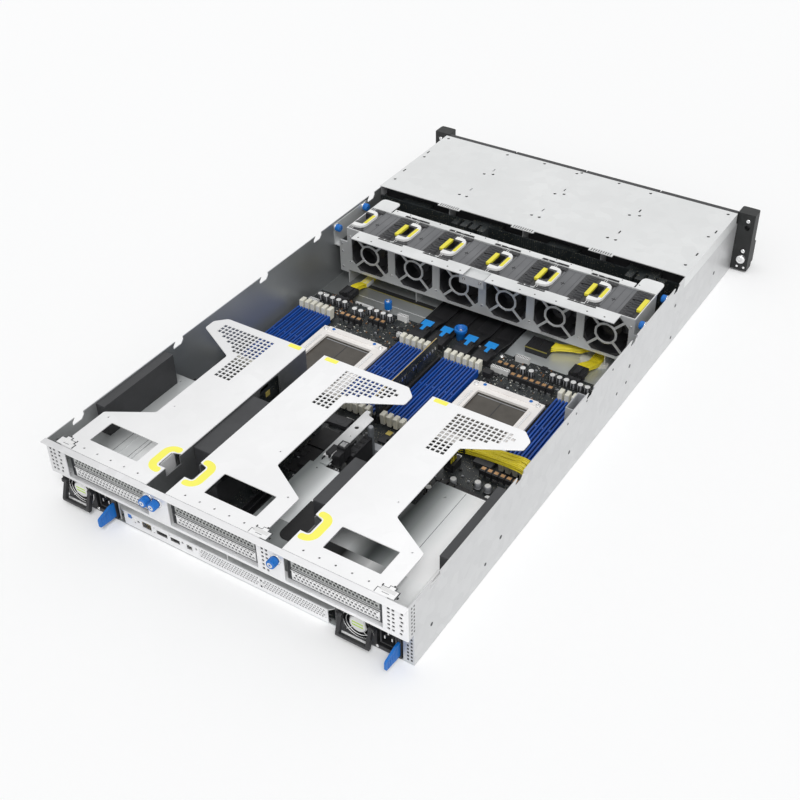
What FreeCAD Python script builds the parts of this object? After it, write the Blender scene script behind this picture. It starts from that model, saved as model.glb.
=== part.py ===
import FreeCAD, Part
import math
import os

os.makedirs("parts", exist_ok=True)
V = FreeCAD.Vector

# All sizes are millimetres. X runs to the right as seen from the rear panel, Y from the rear panel
# towards the rack ears, Z up. Places are measured from the rear end of the bottom sheet, and the
# finished parts are moved so that the origin lies at the bottom centre of the whole server.

# Overall sizes
chassis_width = 438.0
chassis_depth = 787.0
chassis_height = 86.7
ear_width = 22.3
lid_room = 2.3
sheet = 1.2
slide_gap = 0.3
round_sides = 16
ring_sides = 10
screw_sides = 8
corner_sides = 3
cable_sides = 2

# Sizes that follow the server's width or depth are given as they are at 438 mm and at 787 mm
per_width = chassis_width / 438.0
per_depth = chassis_depth / 787.0

# Hook notches for the lid, in the top edge of each side wall
hook_places = tuple(place * per_depth for place in (36.0, 195.0, 353.0, 465.0, 588.0))
hook_width = 17.0
hook_drop = 8.0
hook_lip = 4.0

# Upper rear frame with the three expansion openings
frame_proud = 10.0
frame_lip = 6.0
frame_overlap = 2.0
opening_width = 109.0 * per_width
opening_sill = 1.8
opening_head = 8.4

# Lower rear panel and its ports: centre across, centre height, width, height
io_height = 19.2
io_shelf_depth = 52.0 * per_depth
io_corner = 8.0
io_ports = (
    (-103.8 * per_width, 11.5, 13.0 * per_width, 9.0),
    (-83.5 * per_width, 10.5, 15.0 * per_width, 6.0),
    (-66.0 * per_width, 10.5, 13.0 * per_width, 6.0),
    (-47.0 * per_width, 11.0, 8.0 * per_width, 7.0),
)
port_margin = 0.8
port_depth = 14.0
port_pocket = 9.0
io_bays = ((-33.0 * per_width, 42.0 * per_width), (46.0 * per_width, 120.0 * per_width))
io_vents = 5
io_vent_width = 11.0 * per_width
io_vent_height = 9.0

# Power supplies and their bays
psu_width = 73.0 * per_width
psu_height = 40.0
psu_length = 184.0 * per_depth
psu_headroom = 0.5
psu_proud = 1.0
psu_side_gap = 12.5
psu_fan_x = 26.0 * per_width
psu_fan_bore = 17.5
psu_fan_depth = 24.0
inlet_x = 58.0 * per_width
inlet_width = 19.0 * per_width
inlet_height = 26.0
inlet_recess = 10.0
latch_x = 70.6 * per_width
latch_thick = 2.5
latch_height = 18.0
latch_base = 4.0
latch_reach = 23.0
latch_root = 9.0
latch_slack = 1.2
bail_width = 37.5 * per_width
bail_bar = 4.0
bail_pivot_z = 28.0
bail_pivot_out = 4.0
bail_drop = 19.0
bail_throw = 8.0
pin_radius = 1.2
pin_clearance = 0.3
pin_corner = 1.16

# Bay covers, middle shelf and its bracket bar
bay_cover_length = 183.0 * per_depth
shelf_start_x = 1.0 * per_width
shelf_length = 141.0 * per_depth
bracket_x = 5.0 * per_width
bracket_width = 15.0 * per_width
bracket_length = 92.0 * per_depth
bracket_hole = 2.5

# Air baffles
baffle_start = 62.0 * per_depth
side_baffle_length = 110.0 * per_depth
long_baffle_length = 98.0 * per_depth
short_baffle_length = 73.0 * per_depth
baffle_below_lid = 1.4
side_baffle_width = 12.5 * per_width
right_baffle_width = 10.2 * per_width

# Motherboard
standoff = 4.0
standoff_radius = 3.0
board_thick = 1.6
board_start = 3.0
board_step = 188.0 * per_depth
board_end = 459.0 * per_depth
board_side_gap = 6.0
board_bay_gap = 1.5

# Processor sockets
socket_offset = 107.0 * per_width
socket_centre_y = 328.3 * per_depth
socket_width = 92.4 * per_width
socket_length = 112.0 * per_depth
socket_height = 9.5
socket_window = (66.0 * per_width, 82.0 * per_depth)
socket_plate = 5.5
socket_bar = 8.0

# Memory sockets and latches
bank_offset = 75.5 * per_width
memory_per_bank = 6
memory_pitch = 8.5 * per_width
memory_width = 6.4
memory_start = 274.0 * per_depth
memory_length = 128.0 * per_depth
memory_height = 10.0
memory_groove = 1.6
memory_groove_depth = 6.0
latch_block_width = 5.4
latch_block_length = 10.5
latch_block_height = 15.3
latch_block_lift = 2.7

# Centre card, riser cards and their board slots
card_thick = 1.6
centre_card_height = 37.0
centre_card_start = 268.0 * per_depth
centre_card_end = 400.0 * per_depth
slot_width = 8.0
slot_height = 11.0
slot_groove_depth = 8.0
riser_slot_start = 148.0 * per_depth
riser_slot_length = 84.0 * per_depth

# Riser cages: the straight edge's place, and which way the cage extends from it
risers = (("left", -83.5 * per_width, -1), ("centre", -58.5 * per_width, 1), ("right", 82.0 * per_width, 1))
riser_opening_shift = 1.3 * per_width
riser_rear = -8.0
riser_front = 256.0 * per_depth
riser_width = 114.0 * per_width
riser_arm = 66.5 * per_width
riser_tip = 122.5 * per_width
riser_tip_rear = 229.0 * per_depth
riser_tip_round = 6.0
riser_arm_front = 199.0 * per_depth
riser_arm_rear = 82.0 * per_depth
riser_base_front = 54.0 * per_depth
riser_window = (30.5 * per_width, 94.5 * per_width, 12.5 * per_depth, 45.0 * per_depth)
riser_notch_depth = 10.0
riser_notch = (20.0, 42.0)
riser_wall_end = 255.0 * per_depth
riser_bracket_width = 110.0 * per_width
riser_bracket_y = -4.0
riser_lug = (103.0 * per_width, 121.0 * per_width, 9.0)
blank_width = 98.0 * per_width
blank_margin = 6.0 * per_width
blank_gap = 2.4
card_offset = 4.0
card_front = 250.0 * per_depth
card_rear = 66.0 * per_depth
card_top_gap = 3.0
card_slot_width = 11.0
card_slot_height = 7.5
card_slot_length = 89.0 * per_depth
card_slot_drop = 1.8

# Fan cage and fan modules
fan_count = 6
fan_pitch = 66.5 * per_width
fan_row_centre = 4.0
fan_side_gap = 0.35
fan_drop = 1.9
fan_rim = 2.5
fan_depth = 58.7
cage_rear = 499.5 * per_depth
cage_floor = 21.0
grille_rim = 2.0
grille_corner = 12.0
grille_ring = 14.0
grille_ring_bar = 2.4
grille_spoke = 3.0
cage_rear_flange = 19.5
cage_front_flange = 9.6
flange_notch = 36.0
flange_notch_depth = 7.5
flange_gap = (-13.0 * per_width, 16.5 * per_width)
cage_plate = (28.0, 26.0)
cage_plate_corner = 6.0
cage_wing = (29.0, 14.0)
cage_ledge = (31.6, 15.0)
cage_web = (8.8, 17.0, 21.4)
cage_catch = (-20.5 * per_width, 13.5 * per_width, 14.3, 13.0, 3.2)
cage_leg_places = (-1.5, 2.5)
rotor_gap = 1.2
hub_radius = 12.5
hub_length = 26.0
stator_length = 11.0
stator_arm = 3.0
blade_count = 5
blade_thick = 1.2
blade_chord = 19.0
blade_pitch = 38.0
grip_height = 3.2
grip_reach = 17.0
grip_bar = 7.0
grip_span = 43.0
grip_arm = 10.5
grip_pocket = 9.0
tab_width = 5.5
tab_span = 26.0
rib_count = 3
rib_pitch = 9.0
rib_width = 2.0
rib_height = 1.8
rib_span = 14.0

# Captive screws: radius and length
rear_screws = (-82.3 * per_width, -70.7 * per_width, 74.5 * per_width)
rear_screw_drop = 15.4
rear_screw_size = (5.0, 9.5)
cage_screw_size = (4.8, 8.0)
cage_screw_drop = 7.4
cage_screw_places = (4.0, 7.5)
tray_screw = (-1.5, 449.0 * per_depth, 6.0, 19.0)
tray_plunger = (-109.0 * per_width, 463.5 * per_depth, 3.5, 26.0)
ear_screw_size = (6.0, 7.0)

# Drive bay
bay_depth = 175.0 * per_depth
skirt_drop = 17.7
drive_columns = 4
drive_rows = 3
partition = 1.0
bezel_depth = 10.0
bezel_vent = (13.55, 16.0)
lever_width = 16.0
drive_rail = 3.0
drive_headroom = 2.8
drive_plug_length = 15.6
drive_set_back = 14.0
cover_slot = (2.0, 7.0)
cover_slot_rows = (62.0, 125.0)
cover_tab = (32.0, 5.0)

# Backplane
backplane_gap = 4.0
backplane_thick = 2.4
backplane_drop = 11.5
backplane_vent = (86.0 * per_width, 14.0)
drive_plug = (42.0, 7.0)
rib_block = (9.0, 15.0, 50.0)
rib_blocks = tuple(x * per_width for x in (-92.0, -79.0, -66.0, -53.0, 154.0, 167.0, 180.0, 193.0))

# Rack ears, with standard rack hole spacing
ear_gap = 6.0
ear_depth = 19.6
ear_base = 2.5
ear_drop = 0.7
ear_round = 3.0
rack_hole_in = 8.75
rack_hole_radius = 3.5
rack_hole_drop = 20.8
ear_screw_z = 21.4
ear_latch = (4.0, 35.0, 10.4)

# Data cables and their plugs
data_cables = tuple(x * per_width for x in (-47.0, -19.0, 16.0, 44.0))
data_cable_width = 21.0 * per_width
data_cable_thick = 2.0
data_bend = 14.0
data_socket = (10.0, 6.0)
data_socket_y = 424.0 * per_depth
data_plug_length = 12.0
pull_tab = (14.0, 15.0, 1.0)

# Power leads
front_leads = ((-174.0 * per_width, -173.5 * per_width, 10.0), (155.0 * per_width, 160.0 * per_width, 14.0))
lead_plug = (19.0, 8.0)
lead_thick = 5.0
lead_socket = (18.0, 12.0, 6.0)
side_lead_socket = 10.0
side_lead = (112.0 * per_width, 207.0 * per_width)
side_lead_y = 240.0 * per_depth
side_lead_width = 15.0
side_lead_top = 44.0
side_lead_bend = 12.0
inline_box = (75.0 * per_width, 105.0 * per_width, 482.0 * per_depth, 506.0 * per_depth, 10.0)
inline_turns = ((128.0 * per_width, 509.0 * per_depth), (146.0 * per_width, 512.0 * per_depth))
inline_lead_base = 7.0

# Heat sink, capacitors and chokes on the board
heat_sink = (-34.0 * per_width, 66.0 * per_depth, 40.0 * per_width, 44.0, 11.0)
heat_sink_fins = 6
choke_size = (6.6, 7.0, 8.5)
choke_rows = (
    (-150.0, 417.0, 4, 8.2),
    (-113.0, 428.0, 3, 8.2),
    (92.0, 417.0, 6, 8.2),
    (69.0, 430.0, 3, 8.2),
    (122.0, 214.0, 6, 8.6),
)
capacitor_radius = 3.6
capacitor_height = 9.0
capacitor_rows = (
    (-200.0, 440.0, 5, 9.5),
    (-143.0, 434.0, 2, 9.5),
    (-126.0, 444.0, 4, 10.0),
    (98.0, 434.0, 2, 11.0),
    (134.0, 440.0, 6, 9.0),
    (112.0, 198.0, 3, 11.0),
)
psu_socket = (12.0, 48.0, 12.0, 25.0)
psu_socket_gap = 3.0
side_port = (10.0, 30.0, 22.0)
side_port_y = 315.0 * per_depth

# Worked-out levels and places
half = chassis_width / 2
rack_half = half + ear_width
rack_hole_x = rack_half - rack_hole_in
wall_top = chassis_height - lid_room
inner = half - sheet
psu_base = sheet + slide_gap
deck = psu_base + psu_height + psu_headroom
deck_top = deck + sheet
opening_low = deck_top + opening_sill
opening_height = wall_top - opening_head - opening_low
blank_low = opening_low + 1.0
blank_pitch = (opening_height + 1.0) / 2
blank_height = blank_pitch - blank_gap
card_slot_levels = tuple(blank_low + blank_pitch * (i + 0.5) - card_slot_drop for i in range(2))
rear_screw_z = wall_top - rear_screw_drop
board_base = sheet + standoff
board_top = board_base + board_thick
left_psu_x = slide_gap - inner
left_bay_wall = left_psu_x + psu_width + slide_gap
right_psu_x = inner - psu_side_gap - psu_width
right_bay_wall = right_psu_x - slide_gap - sheet
right_bay_end = right_psu_x + psu_width + slide_gap
bay_rear = chassis_depth - bay_depth
backplane_y = bay_rear - backplane_gap
backplane_top = chassis_height - backplane_drop
seam = chassis_height - skirt_drop
ear_rear = chassis_depth + ear_gap
front_reach = ear_rear + ear_depth + ear_latch[2]
rear_reach = -psu_proud - latch_reach
origin_y = (front_reach + rear_reach) / 2
fan_row_start = fan_row_centre - fan_count * fan_pitch / 2
fan_row_end = fan_row_centre + fan_count * fan_pitch / 2
fan_rear = cage_rear + sheet + slide_gap
cage_front = fan_rear + fan_depth + slide_gap
fan_base = cage_floor + sheet + slide_gap
fan_size = wall_top - fan_drop - fan_base
fan_axis_z = fan_base + fan_size / 2
fan_bore = fan_size / 2 - fan_rim
grille_width = fan_size - 2 * grille_rim
cell_width = (2 * inner - (drive_columns - 1) * partition) / drive_columns
cell_height = (chassis_height - 2 * sheet - (drive_rows - 1) * partition) / drive_rows


def box(x0, x1, y0, y1, z0, z1):
    """Block between two corners."""
    return Part.makeBox(x1 - x0, y1 - y0, z1 - z0, V(x0, y0, z0))


def fuse(shapes):
    """One solid from touching or overlapping ones."""
    return shapes[0].multiFuse(shapes[1:]).removeSplitter()


def cut(shape, tools):
    """The shape with all the tools taken away."""
    return shape.cut(Part.makeCompound(tools))


def in_plane(axis, level):
    """Turns two numbers into a point on the plane across the axis."""
    if axis == "x":
        return lambda a, b: V(level, a, b)
    if axis == "y":
        return lambda a, b: V(a, level, b)
    return lambda a, b: V(a, b, level)


def along(axis, length):
    """Vector of this length along the axis."""
    return V(*(length if axis == name else 0 for name in "xyz"))


def bend(centre, start, end, flats):
    """Points on an arc from start to end, which lie equally far from the centre."""
    arm = start - centre
    goal = end - centre
    turn = arm.getAngle(goal)
    square = goal * (1 / math.sin(turn)) - arm * (1 / math.tan(turn))
    angles = [turn * i / flats for i in range(flats + 1)]
    return [centre + arm * math.cos(t) + square * math.sin(t) for t in angles]


def rounded(points):
    """Corners of an outline. A third number on a point rounds that corner with flats."""
    corners = [V(p[0], p[1], 0) for p in points]
    loop = []
    for i, point in enumerate(points):
        here = corners[i]
        if len(point) == 2:
            loop.append(here)
            continue
        back = (corners[i - 1] - here).normalize()
        ahead = (corners[(i + 1) % len(corners)] - here).normalize()
        half_angle = back.getAngle(ahead) / 2
        centre = here + (back + ahead).normalize() * (point[2] / math.sin(half_angle))
        reach = point[2] / math.tan(half_angle)
        loop += bend(centre, here + back * reach, here + ahead * reach, corner_sides)
    return loop


def prism(points, axis, level, length):
    """Straight extrusion along an axis of the outline through the points."""
    place = in_plane(axis, level)
    loop = [place(p.x, p.y) for p in rounded(points)]
    face = Part.Face(Part.makePolygon(loop + loop[:1]))
    return face.extrude(along(axis, length))


def ring_points(a, b, radius, sides=round_sides, turn=0.5):
    """Corners of a regular outline whose flats lie on the radius."""
    corner = radius / math.cos(math.pi / sides)
    angles = [2 * math.pi * (i + turn) / sides for i in range(sides)]
    return [(a + corner * math.cos(t), b + corner * math.sin(t)) for t in angles]


def round_bar(a, b, radius, axis, level, length, sides=round_sides):
    """Round bar or bore, drawn with flats."""
    return prism(ring_points(a, b, radius, sides), axis, level, length)


def strip(points, radius, thickness, axis, level, width):
    """Flat cable: a band of even thickness along a path whose corners are bent to the radius."""
    path = [V(a, b, 0) for a, b in points]
    steps = [(path[i + 1] - path[i]).normalize() for i in range(len(path) - 1)]
    normals = [V(-step.y, step.x, 0) for step in steps]
    sides = []
    for offset in (thickness / 2, -thickness / 2):
        line = [path[0] + normals[0] * offset]
        for i in range(1, len(path) - 1):
            before, after = steps[i - 1], steps[i]
            left = 1 if before.cross(after).z > 0 else -1
            reach = radius * math.tan(before.getAngle(after) / 2)
            centre = path[i] - before * reach + normals[i - 1] * (radius * left)
            share = (radius - left * offset) / radius
            start = centre + (path[i] - before * reach - centre) * share
            end = centre + (path[i] + after * reach - centre) * share
            line += bend(centre, start, end, cable_sides)
        line.append(path[-1] + normals[-1] * offset)
        sides.append(line)
    loop = sides[0] + sides[1][::-1]
    return prism([(p.x, p.y) for p in loop], axis, level, width)


def save(name, *solids):
    """Writes one sub-part, moved to the server's own origin."""
    shape = solids[0] if len(solids) == 1 else Part.makeCompound(list(solids))
    moved = shape.copy()
    moved.translate(V(0, -origin_y, 0))
    moved.exportStep("parts/" + name + ".step")


def side_wall(x):
    """Side wall with its hook notches, raised at the rear and low beside the drive bay."""
    points = [(0, 0), (ear_rear, 0), (ear_rear, seam), (bay_rear, seam), (bay_rear, wall_top)]
    for place in reversed(hook_places):
        start = place - hook_width / 2
        end = place + hook_width / 2
        points += [
            (end, wall_top),
            (end, wall_top - hook_lip),
            (end - hook_lip, wall_top - hook_drop),
            (start, wall_top - hook_drop),
            (start, wall_top - hook_lip),
            (start + hook_lip, wall_top),
        ]
    frame_back = sheet - frame_proud
    points += [(frame_back, wall_top), (frame_back, deck), (0, deck)]
    return prism(points, "x", x, sheet)


def chassis_base():
    floor = box(-half, half, 0, ear_rear, 0, sheet)
    strip_plate = box(right_bay_end + sheet, inner, 0, sheet, sheet, deck)
    return fuse([floor, side_wall(-half), side_wall(inner), strip_plate])


def opening_centre(edge, side):
    """Middle of the expansion opening behind a riser cage."""
    return edge + side * (riser_opening_shift + opening_width / 2)


def rear_panel():
    back = -frame_proud
    face = box(-half, half, back, back + sheet, deck, wall_top)
    lip = box(-half, half, back - frame_lip, back + sheet, wall_top, wall_top + sheet)
    shelf = box(-inner, inner, back + sheet, frame_overlap, deck, deck_top)
    holes = []
    for name, edge, side in risers:
        middle = opening_centre(edge, side)
        holes.append(box(middle - opening_width / 2, middle + opening_width / 2,
                         back - 1, back + sheet + 1, opening_low, opening_low + opening_height))
    return cut(fuse([face, lip, shelf]), holes)


def io_panel():
    left = left_bay_wall + sheet
    right = right_bay_wall
    face = box(left, right, 0, sheet, sheet, io_height)
    plan = [(left, 0, io_corner), (right - io_corner, 0), (right, io_corner),
            (right, io_shelf_depth), (left, io_shelf_depth)]
    top = prism(plan, "z", io_height - sheet, sheet)
    face = face.common(prism([(left + io_corner, -1), (right - io_corner, -1),
                              (right - io_corner, sheet + 1), (left + io_corner, sheet + 1)],
                             "z", 0, chassis_height))
    holes = [box(x - w / 2, x + w / 2, -1, sheet + 1, z - h / 2, z + h / 2)
             for x, z, w, h in io_ports]
    for start, end in io_bays:
        pitch = (end - start) / io_vents
        for i in range(io_vents):
            x = start + pitch * (i + 0.5)
            z = board_top + io_vent_height / 2
            holes.append(box(x - io_vent_width / 2, x + io_vent_width / 2, -1, sheet + 1,
                             z - io_vent_height / 2, z + io_vent_height / 2))
    return cut(fuse([face, top]), holes)


def port_socket(x, z, width, height):
    """Socket behind a port cut-out: a shell with a pocket, standing on the board."""
    top = z + height / 2 + port_margin
    shell = box(x - width / 2 - port_margin, x + width / 2 + port_margin,
                sheet, sheet + port_depth, board_top, top)
    floor = max(z - height / 2, board_top + port_margin)
    pocket = box(x - width / 2, x + width / 2, sheet - 1, sheet + port_pocket,
                 floor, z + height / 2)
    return shell.cut(pocket)


def psu_bay_covers():
    front = frame_overlap + bay_cover_length
    left = fuse([
        box(-inner, left_bay_wall + sheet, frame_overlap, front, deck, deck_top),
        box(left_bay_wall, left_bay_wall + sheet, frame_overlap, front, sheet, deck),
    ])
    bar = prism([
        (bracket_x, frame_overlap + shelf_length),
        (bracket_x + bracket_width, frame_overlap + shelf_length),
        (bracket_x + bracket_width, frame_overlap + shelf_length + bracket_length, 6),
        (bracket_x, frame_overlap + shelf_length + bracket_length, 6),
    ], "z", deck, sheet)
    hole = round_bar(bracket_x + bracket_width / 2,
                     frame_overlap + shelf_length + bracket_length - bracket_width / 2,
                     bracket_hole, "z", deck - 1, sheet + 2, 12)
    right = fuse([
        box(right_bay_wall, inner, frame_overlap, front, deck, deck_top),
        box(right_bay_wall, right_bay_wall + sheet, frame_overlap, front, sheet, deck),
        box(right_bay_end, right_bay_end + sheet, frame_overlap, front, sheet, deck),
        box(shelf_start_x, right_bay_wall, frame_overlap, frame_overlap + shelf_length,
            deck, deck_top),
        box(shelf_start_x, shelf_start_x + sheet, frame_overlap, io_shelf_depth,
            io_height, deck),
        bar.cut(hole),
    ])
    return left, right


def air_baffles():
    top = wall_top - baffle_below_lid
    left_edge = risers[0][1] + 2 * slide_gap
    centre_edge = risers[1][1] - 2 * slide_gap
    right_edge = risers[2][1] - 2 * slide_gap
    width = centre_edge - left_edge
    return [
        box(-inner, -inner + side_baffle_width, baffle_start,
            baffle_start + side_baffle_length, deck_top, top),
        box(left_edge, centre_edge, baffle_start, baffle_start + long_baffle_length,
            board_top, top),
        box(right_edge - width * 2 / 3, right_edge, baffle_start,
            baffle_start + short_baffle_length, deck_top, top),
        box(inner - right_baffle_width, inner, baffle_start,
            baffle_start + side_baffle_length, deck_top, top),
    ]


def motherboard():
    side = inner - board_side_gap
    left = left_bay_wall + sheet + board_bay_gap
    right = right_bay_wall - board_bay_gap
    plan = [(left, board_start), (right, board_start), (right, board_step), (side, board_step),
            (side, board_end), (-side, board_end), (-side, board_step), (left, board_step)]
    board = prism(plan, "z", board_base, board_thick)
    spots = [(x, y) for x in (-side + 8, 0, side - 8) for y in (board_step + 9, board_end - 9)]
    spots += [(x, y) for x in (left + 8, right - 8) for y in (board_start + 20, board_step - 30)]
    posts = [box(x - standoff_radius, x + standoff_radius, y - standoff_radius,
                 y + standoff_radius, sheet, board_base) for x, y in spots]
    return board, posts


def socket_centres():
    return (-socket_offset, socket_offset)


def cpu_socket(x):
    """Frame with a window, a retention bar at each end, and the plate that closes the window."""
    rear = socket_centre_y - socket_length / 2
    front = socket_centre_y + socket_length / 2
    wide, deep = socket_window
    frame = box(x - socket_width / 2, x + socket_width / 2, rear, front,
                board_top, board_top + socket_height)
    window = box(x - wide / 2, x + wide / 2, socket_centre_y - deep / 2,
                 socket_centre_y + deep / 2, board_top, board_top + socket_height + 1)
    bars = [box(x - socket_width / 2 + socket_bar, x + socket_width / 2 - socket_bar, y, y + socket_bar,
                board_top + socket_height, board_top + socket_height + sheet)
            for y in (rear, front - socket_bar)]
    plate = box(x - wide / 2 + slide_gap, x + wide / 2 - slide_gap,
                socket_centre_y - deep / 2 + slide_gap, socket_centre_y + deep / 2 - slide_gap,
                board_top, board_top + socket_plate)
    return fuse([frame.cut(window)] + bars), plate


def memory_places():
    """Centres across of all the memory sockets."""
    spread = (memory_per_bank - 1) * memory_pitch / 2
    banks = [x + shift for x in socket_centres() for shift in (-bank_offset, bank_offset)]
    return [bank - spread + i * memory_pitch for bank in banks for i in range(memory_per_bank)]


def memory_socket(x):
    left = x - memory_width / 2
    right = x + memory_width / 2
    top = board_top + memory_height
    low = top - memory_groove_depth
    profile = [(left, board_top), (right, board_top), (right, top), (x + memory_groove / 2, top),
               (x + memory_groove / 2, low), (x - memory_groove / 2, low),
               (x - memory_groove / 2, top), (left, top)]
    return prism(profile, "y", memory_start, memory_length)


def memory_latch(x, end, way):
    """Latch lever at one end of a memory socket, hooked at the top."""
    base = board_top + latch_block_lift
    top = base + latch_block_height
    near = end + way * slide_gap
    far = near + way * latch_block_length
    profile = [(near, base), (far - way * 2, base), (far, top), (near + way, top)]
    return prism(profile, "x", x - latch_block_width / 2, latch_block_width)


def memory_latches(end, way):
    return [memory_latch(x, end, way) for x in memory_places()]


def edge_slot(x, start, length):
    """Board slot that takes the edge of a card."""
    wide = card_thick / 2 + slide_gap
    low = board_top + slot_height - slot_groove_depth
    top = board_top + slot_height
    profile = [(x - slot_width / 2, board_top), (x + slot_width / 2, board_top),
               (x + slot_width / 2, top), (x + wide, top), (x + wide, low), (x - wide, low),
               (x - wide, top), (x - slot_width / 2, top)]
    return prism(profile, "y", start, length)


def card_base():
    """Height of a seated card's lower edge."""
    return board_top + slot_height - slot_groove_depth + slide_gap


def center_card():
    half_card = card_thick / 2
    card = box(-half_card, half_card, centre_card_start, centre_card_end,
               card_base(), board_top + centre_card_height)
    chips = [box(half_card, half_card + 1.4, y, y + 12, board_top + 16, board_top + 28)
             for y in (centre_card_start + 12 + 24 * i for i in range(4))]
    return fuse([card] + chips)


def riser_outline():
    """Plan of a riser cover, measured across from its straight edge."""
    n0, n1 = riser_notch
    return [
        (0, riser_rear), (riser_width, riser_rear), (riser_width, riser_base_front, 3),
        (riser_arm, riser_arm_rear, 5), (riser_arm, riser_arm_front, 5),
        (riser_tip, riser_tip_rear, 4), (riser_tip, riser_front - riser_tip_round * 2, riser_tip_round),
        (riser_tip - riser_tip_round * 2, riser_front, riser_tip_round), (0, riser_front),
        (0, n1 + 3), (riser_notch_depth, n1, 3), (riser_notch_depth, n0, 3), (0, n0),
    ]


def slot_blanks():
    """Two plates that close the expansion slots."""
    plates = []
    for level in range(2):
        base = blank_low + level * blank_pitch
        plates.append(box(blank_margin, blank_margin + blank_width, riser_bracket_y - sheet,
                          riser_bracket_y, base, base + blank_height))
    return plates


def riser_cage():
    """Cover plate, side wall and rear bracket, with the slot blanks on the bracket."""
    w0, w1, w2, w3 = riser_window
    plate = prism(riser_outline(), "z", wall_top, sheet)
    plate = plate.cut(box(w0, w1, w2, w3, wall_top - 1, wall_top + sheet + 1))
    base = deck_top + slide_gap
    n0, n1 = riser_notch
    wall = prism([
        (riser_bracket_y, base), (riser_wall_end, base), (riser_wall_end, wall_top),
        (n1, wall_top), (n1, wall_top - riser_notch_depth, 4), (n0, wall_top - riser_notch_depth, 4),
        (n0, wall_top), (riser_bracket_y, wall_top),
    ], "x", 0, sheet)
    bracket = box(sheet, riser_bracket_width, riser_bracket_y, riser_bracket_y + sheet, base, wall_top)
    slots = [box(blank_margin + 3, blank_margin + blank_width - 3, riser_bracket_y - 1,
                 riser_bracket_y + sheet + 1, blank_low + level * blank_pitch + 1.5,
                 blank_low + level * blank_pitch + blank_height - 1.5) for level in range(2)]
    lug = box(riser_lug[0], riser_lug[1], riser_rear, riser_rear + riser_lug[2],
              wall_top + sheet, wall_top + 2 * sheet - 0.4)
    return [fuse([plate, wall, cut(bracket, slots), lug])] + slot_blanks()


def riser_card():
    """Upright card inside the straight edge, with two card slots, its lower edge in the board slot."""
    top = wall_top - card_top_gap
    base = deck_top + 2
    tab_start = riser_slot_start + 2
    tab_end = riser_slot_start + riser_slot_length - 2
    profile = [(card_rear, base), (tab_start, base), (tab_start, card_base()), (tab_end, card_base()),
               (tab_end, base), (card_front, base), (card_front, top), (card_rear, top)]
    card = prism(profile, "x", card_offset - card_thick / 2, card_thick)
    face = card_offset + card_thick / 2
    sockets = [box(face, face + card_slot_width, card_rear + 12, card_rear + 12 + card_slot_length,
                   level - card_slot_height / 2, level + card_slot_height / 2)
               for level in card_slot_levels]
    return fuse([card] + sockets)


def placed(shape, edge, side):
    """A riser piece at its straight edge, turned over for a cage that extends to the left."""
    copy = shape.copy() if side > 0 else shape.mirror(V(0, 0, 0), V(1, 0, 0))
    copy.translate(V(edge, 0, 0))
    return copy


def octagon(x, z, width, corner):
    r = width / 2
    return [(x - r, z - r + corner), (x - r + corner, z - r), (x + r - corner, z - r),
            (x + r, z - r + corner), (x + r, z + r - corner), (x + r - corner, z + r),
            (x - r + corner, z + r), (x - r, z + r - corner)]


def fan_centre(index):
    return fan_row_start + fan_pitch * (index + 0.5)


def grille(x):
    """Ring and four diagonal spokes across a fan opening."""
    ring = round_bar(x, fan_axis_z, grille_ring, "y", cage_rear, sheet, ring_sides)
    ring = ring.cut(round_bar(x, fan_axis_z, grille_ring - grille_ring_bar, "y",
                              cage_rear - 1, sheet + 2, ring_sides))
    inside = grille_ring - grille_ring_bar / 2
    spokes = []
    for i in range(4):
        spoke = box(inside, grille_width / 2 * 1.2, cage_rear, cage_rear + sheet,
                    -grille_spoke / 2, grille_spoke / 2)
        spoke.rotate(V(0, 0, 0), V(0, 1, 0), 45 + 90 * i)
        spoke.translate(V(x, 0, fan_axis_z))
        spokes.append(spoke)
    return [ring] + spokes


def cage_wall(y, with_grille):
    """Wall between the cage's end plates, with an opening for each fan."""
    wall = box(fan_row_start, fan_row_end, y, y + sheet, cage_floor, wall_top)
    centres = [fan_centre(i) for i in range(fan_count)]
    reach = grille_width / 2
    if not with_grille:
        return cut(wall, [box(x - reach, x + reach, y - 1, y + sheet + 1,
                              fan_axis_z - reach, fan_axis_z + reach) for x in centres])
    wall = cut(wall, [prism(octagon(x, fan_axis_z, grille_width, grille_corner), "y", y - 1, sheet + 2)
                      for x in centres])
    return fuse([wall] + [bar for x in centres for bar in grille(x)])


def flange_notches(x0, x1, y0, y1):
    """Cut-outs where neighbouring fan modules meet a flange between x0 and x1."""
    places = [fan_row_start + fan_pitch * i for i in range(1, fan_count)]
    return [box(x - flange_notch / 2, x + flange_notch / 2, y0, y1, wall_top - 2 * sheet, wall_top + 1)
            for x in places if x0 < x < x1]


def flange(x0, x1, y0, y1, notch0, notch1):
    """Level flange at the top of a cage wall."""
    plate = box(x0, x1, y0, y1, wall_top - sheet, wall_top)
    return cut(plate, flange_notches(x0, x1, notch0, notch1))


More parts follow.
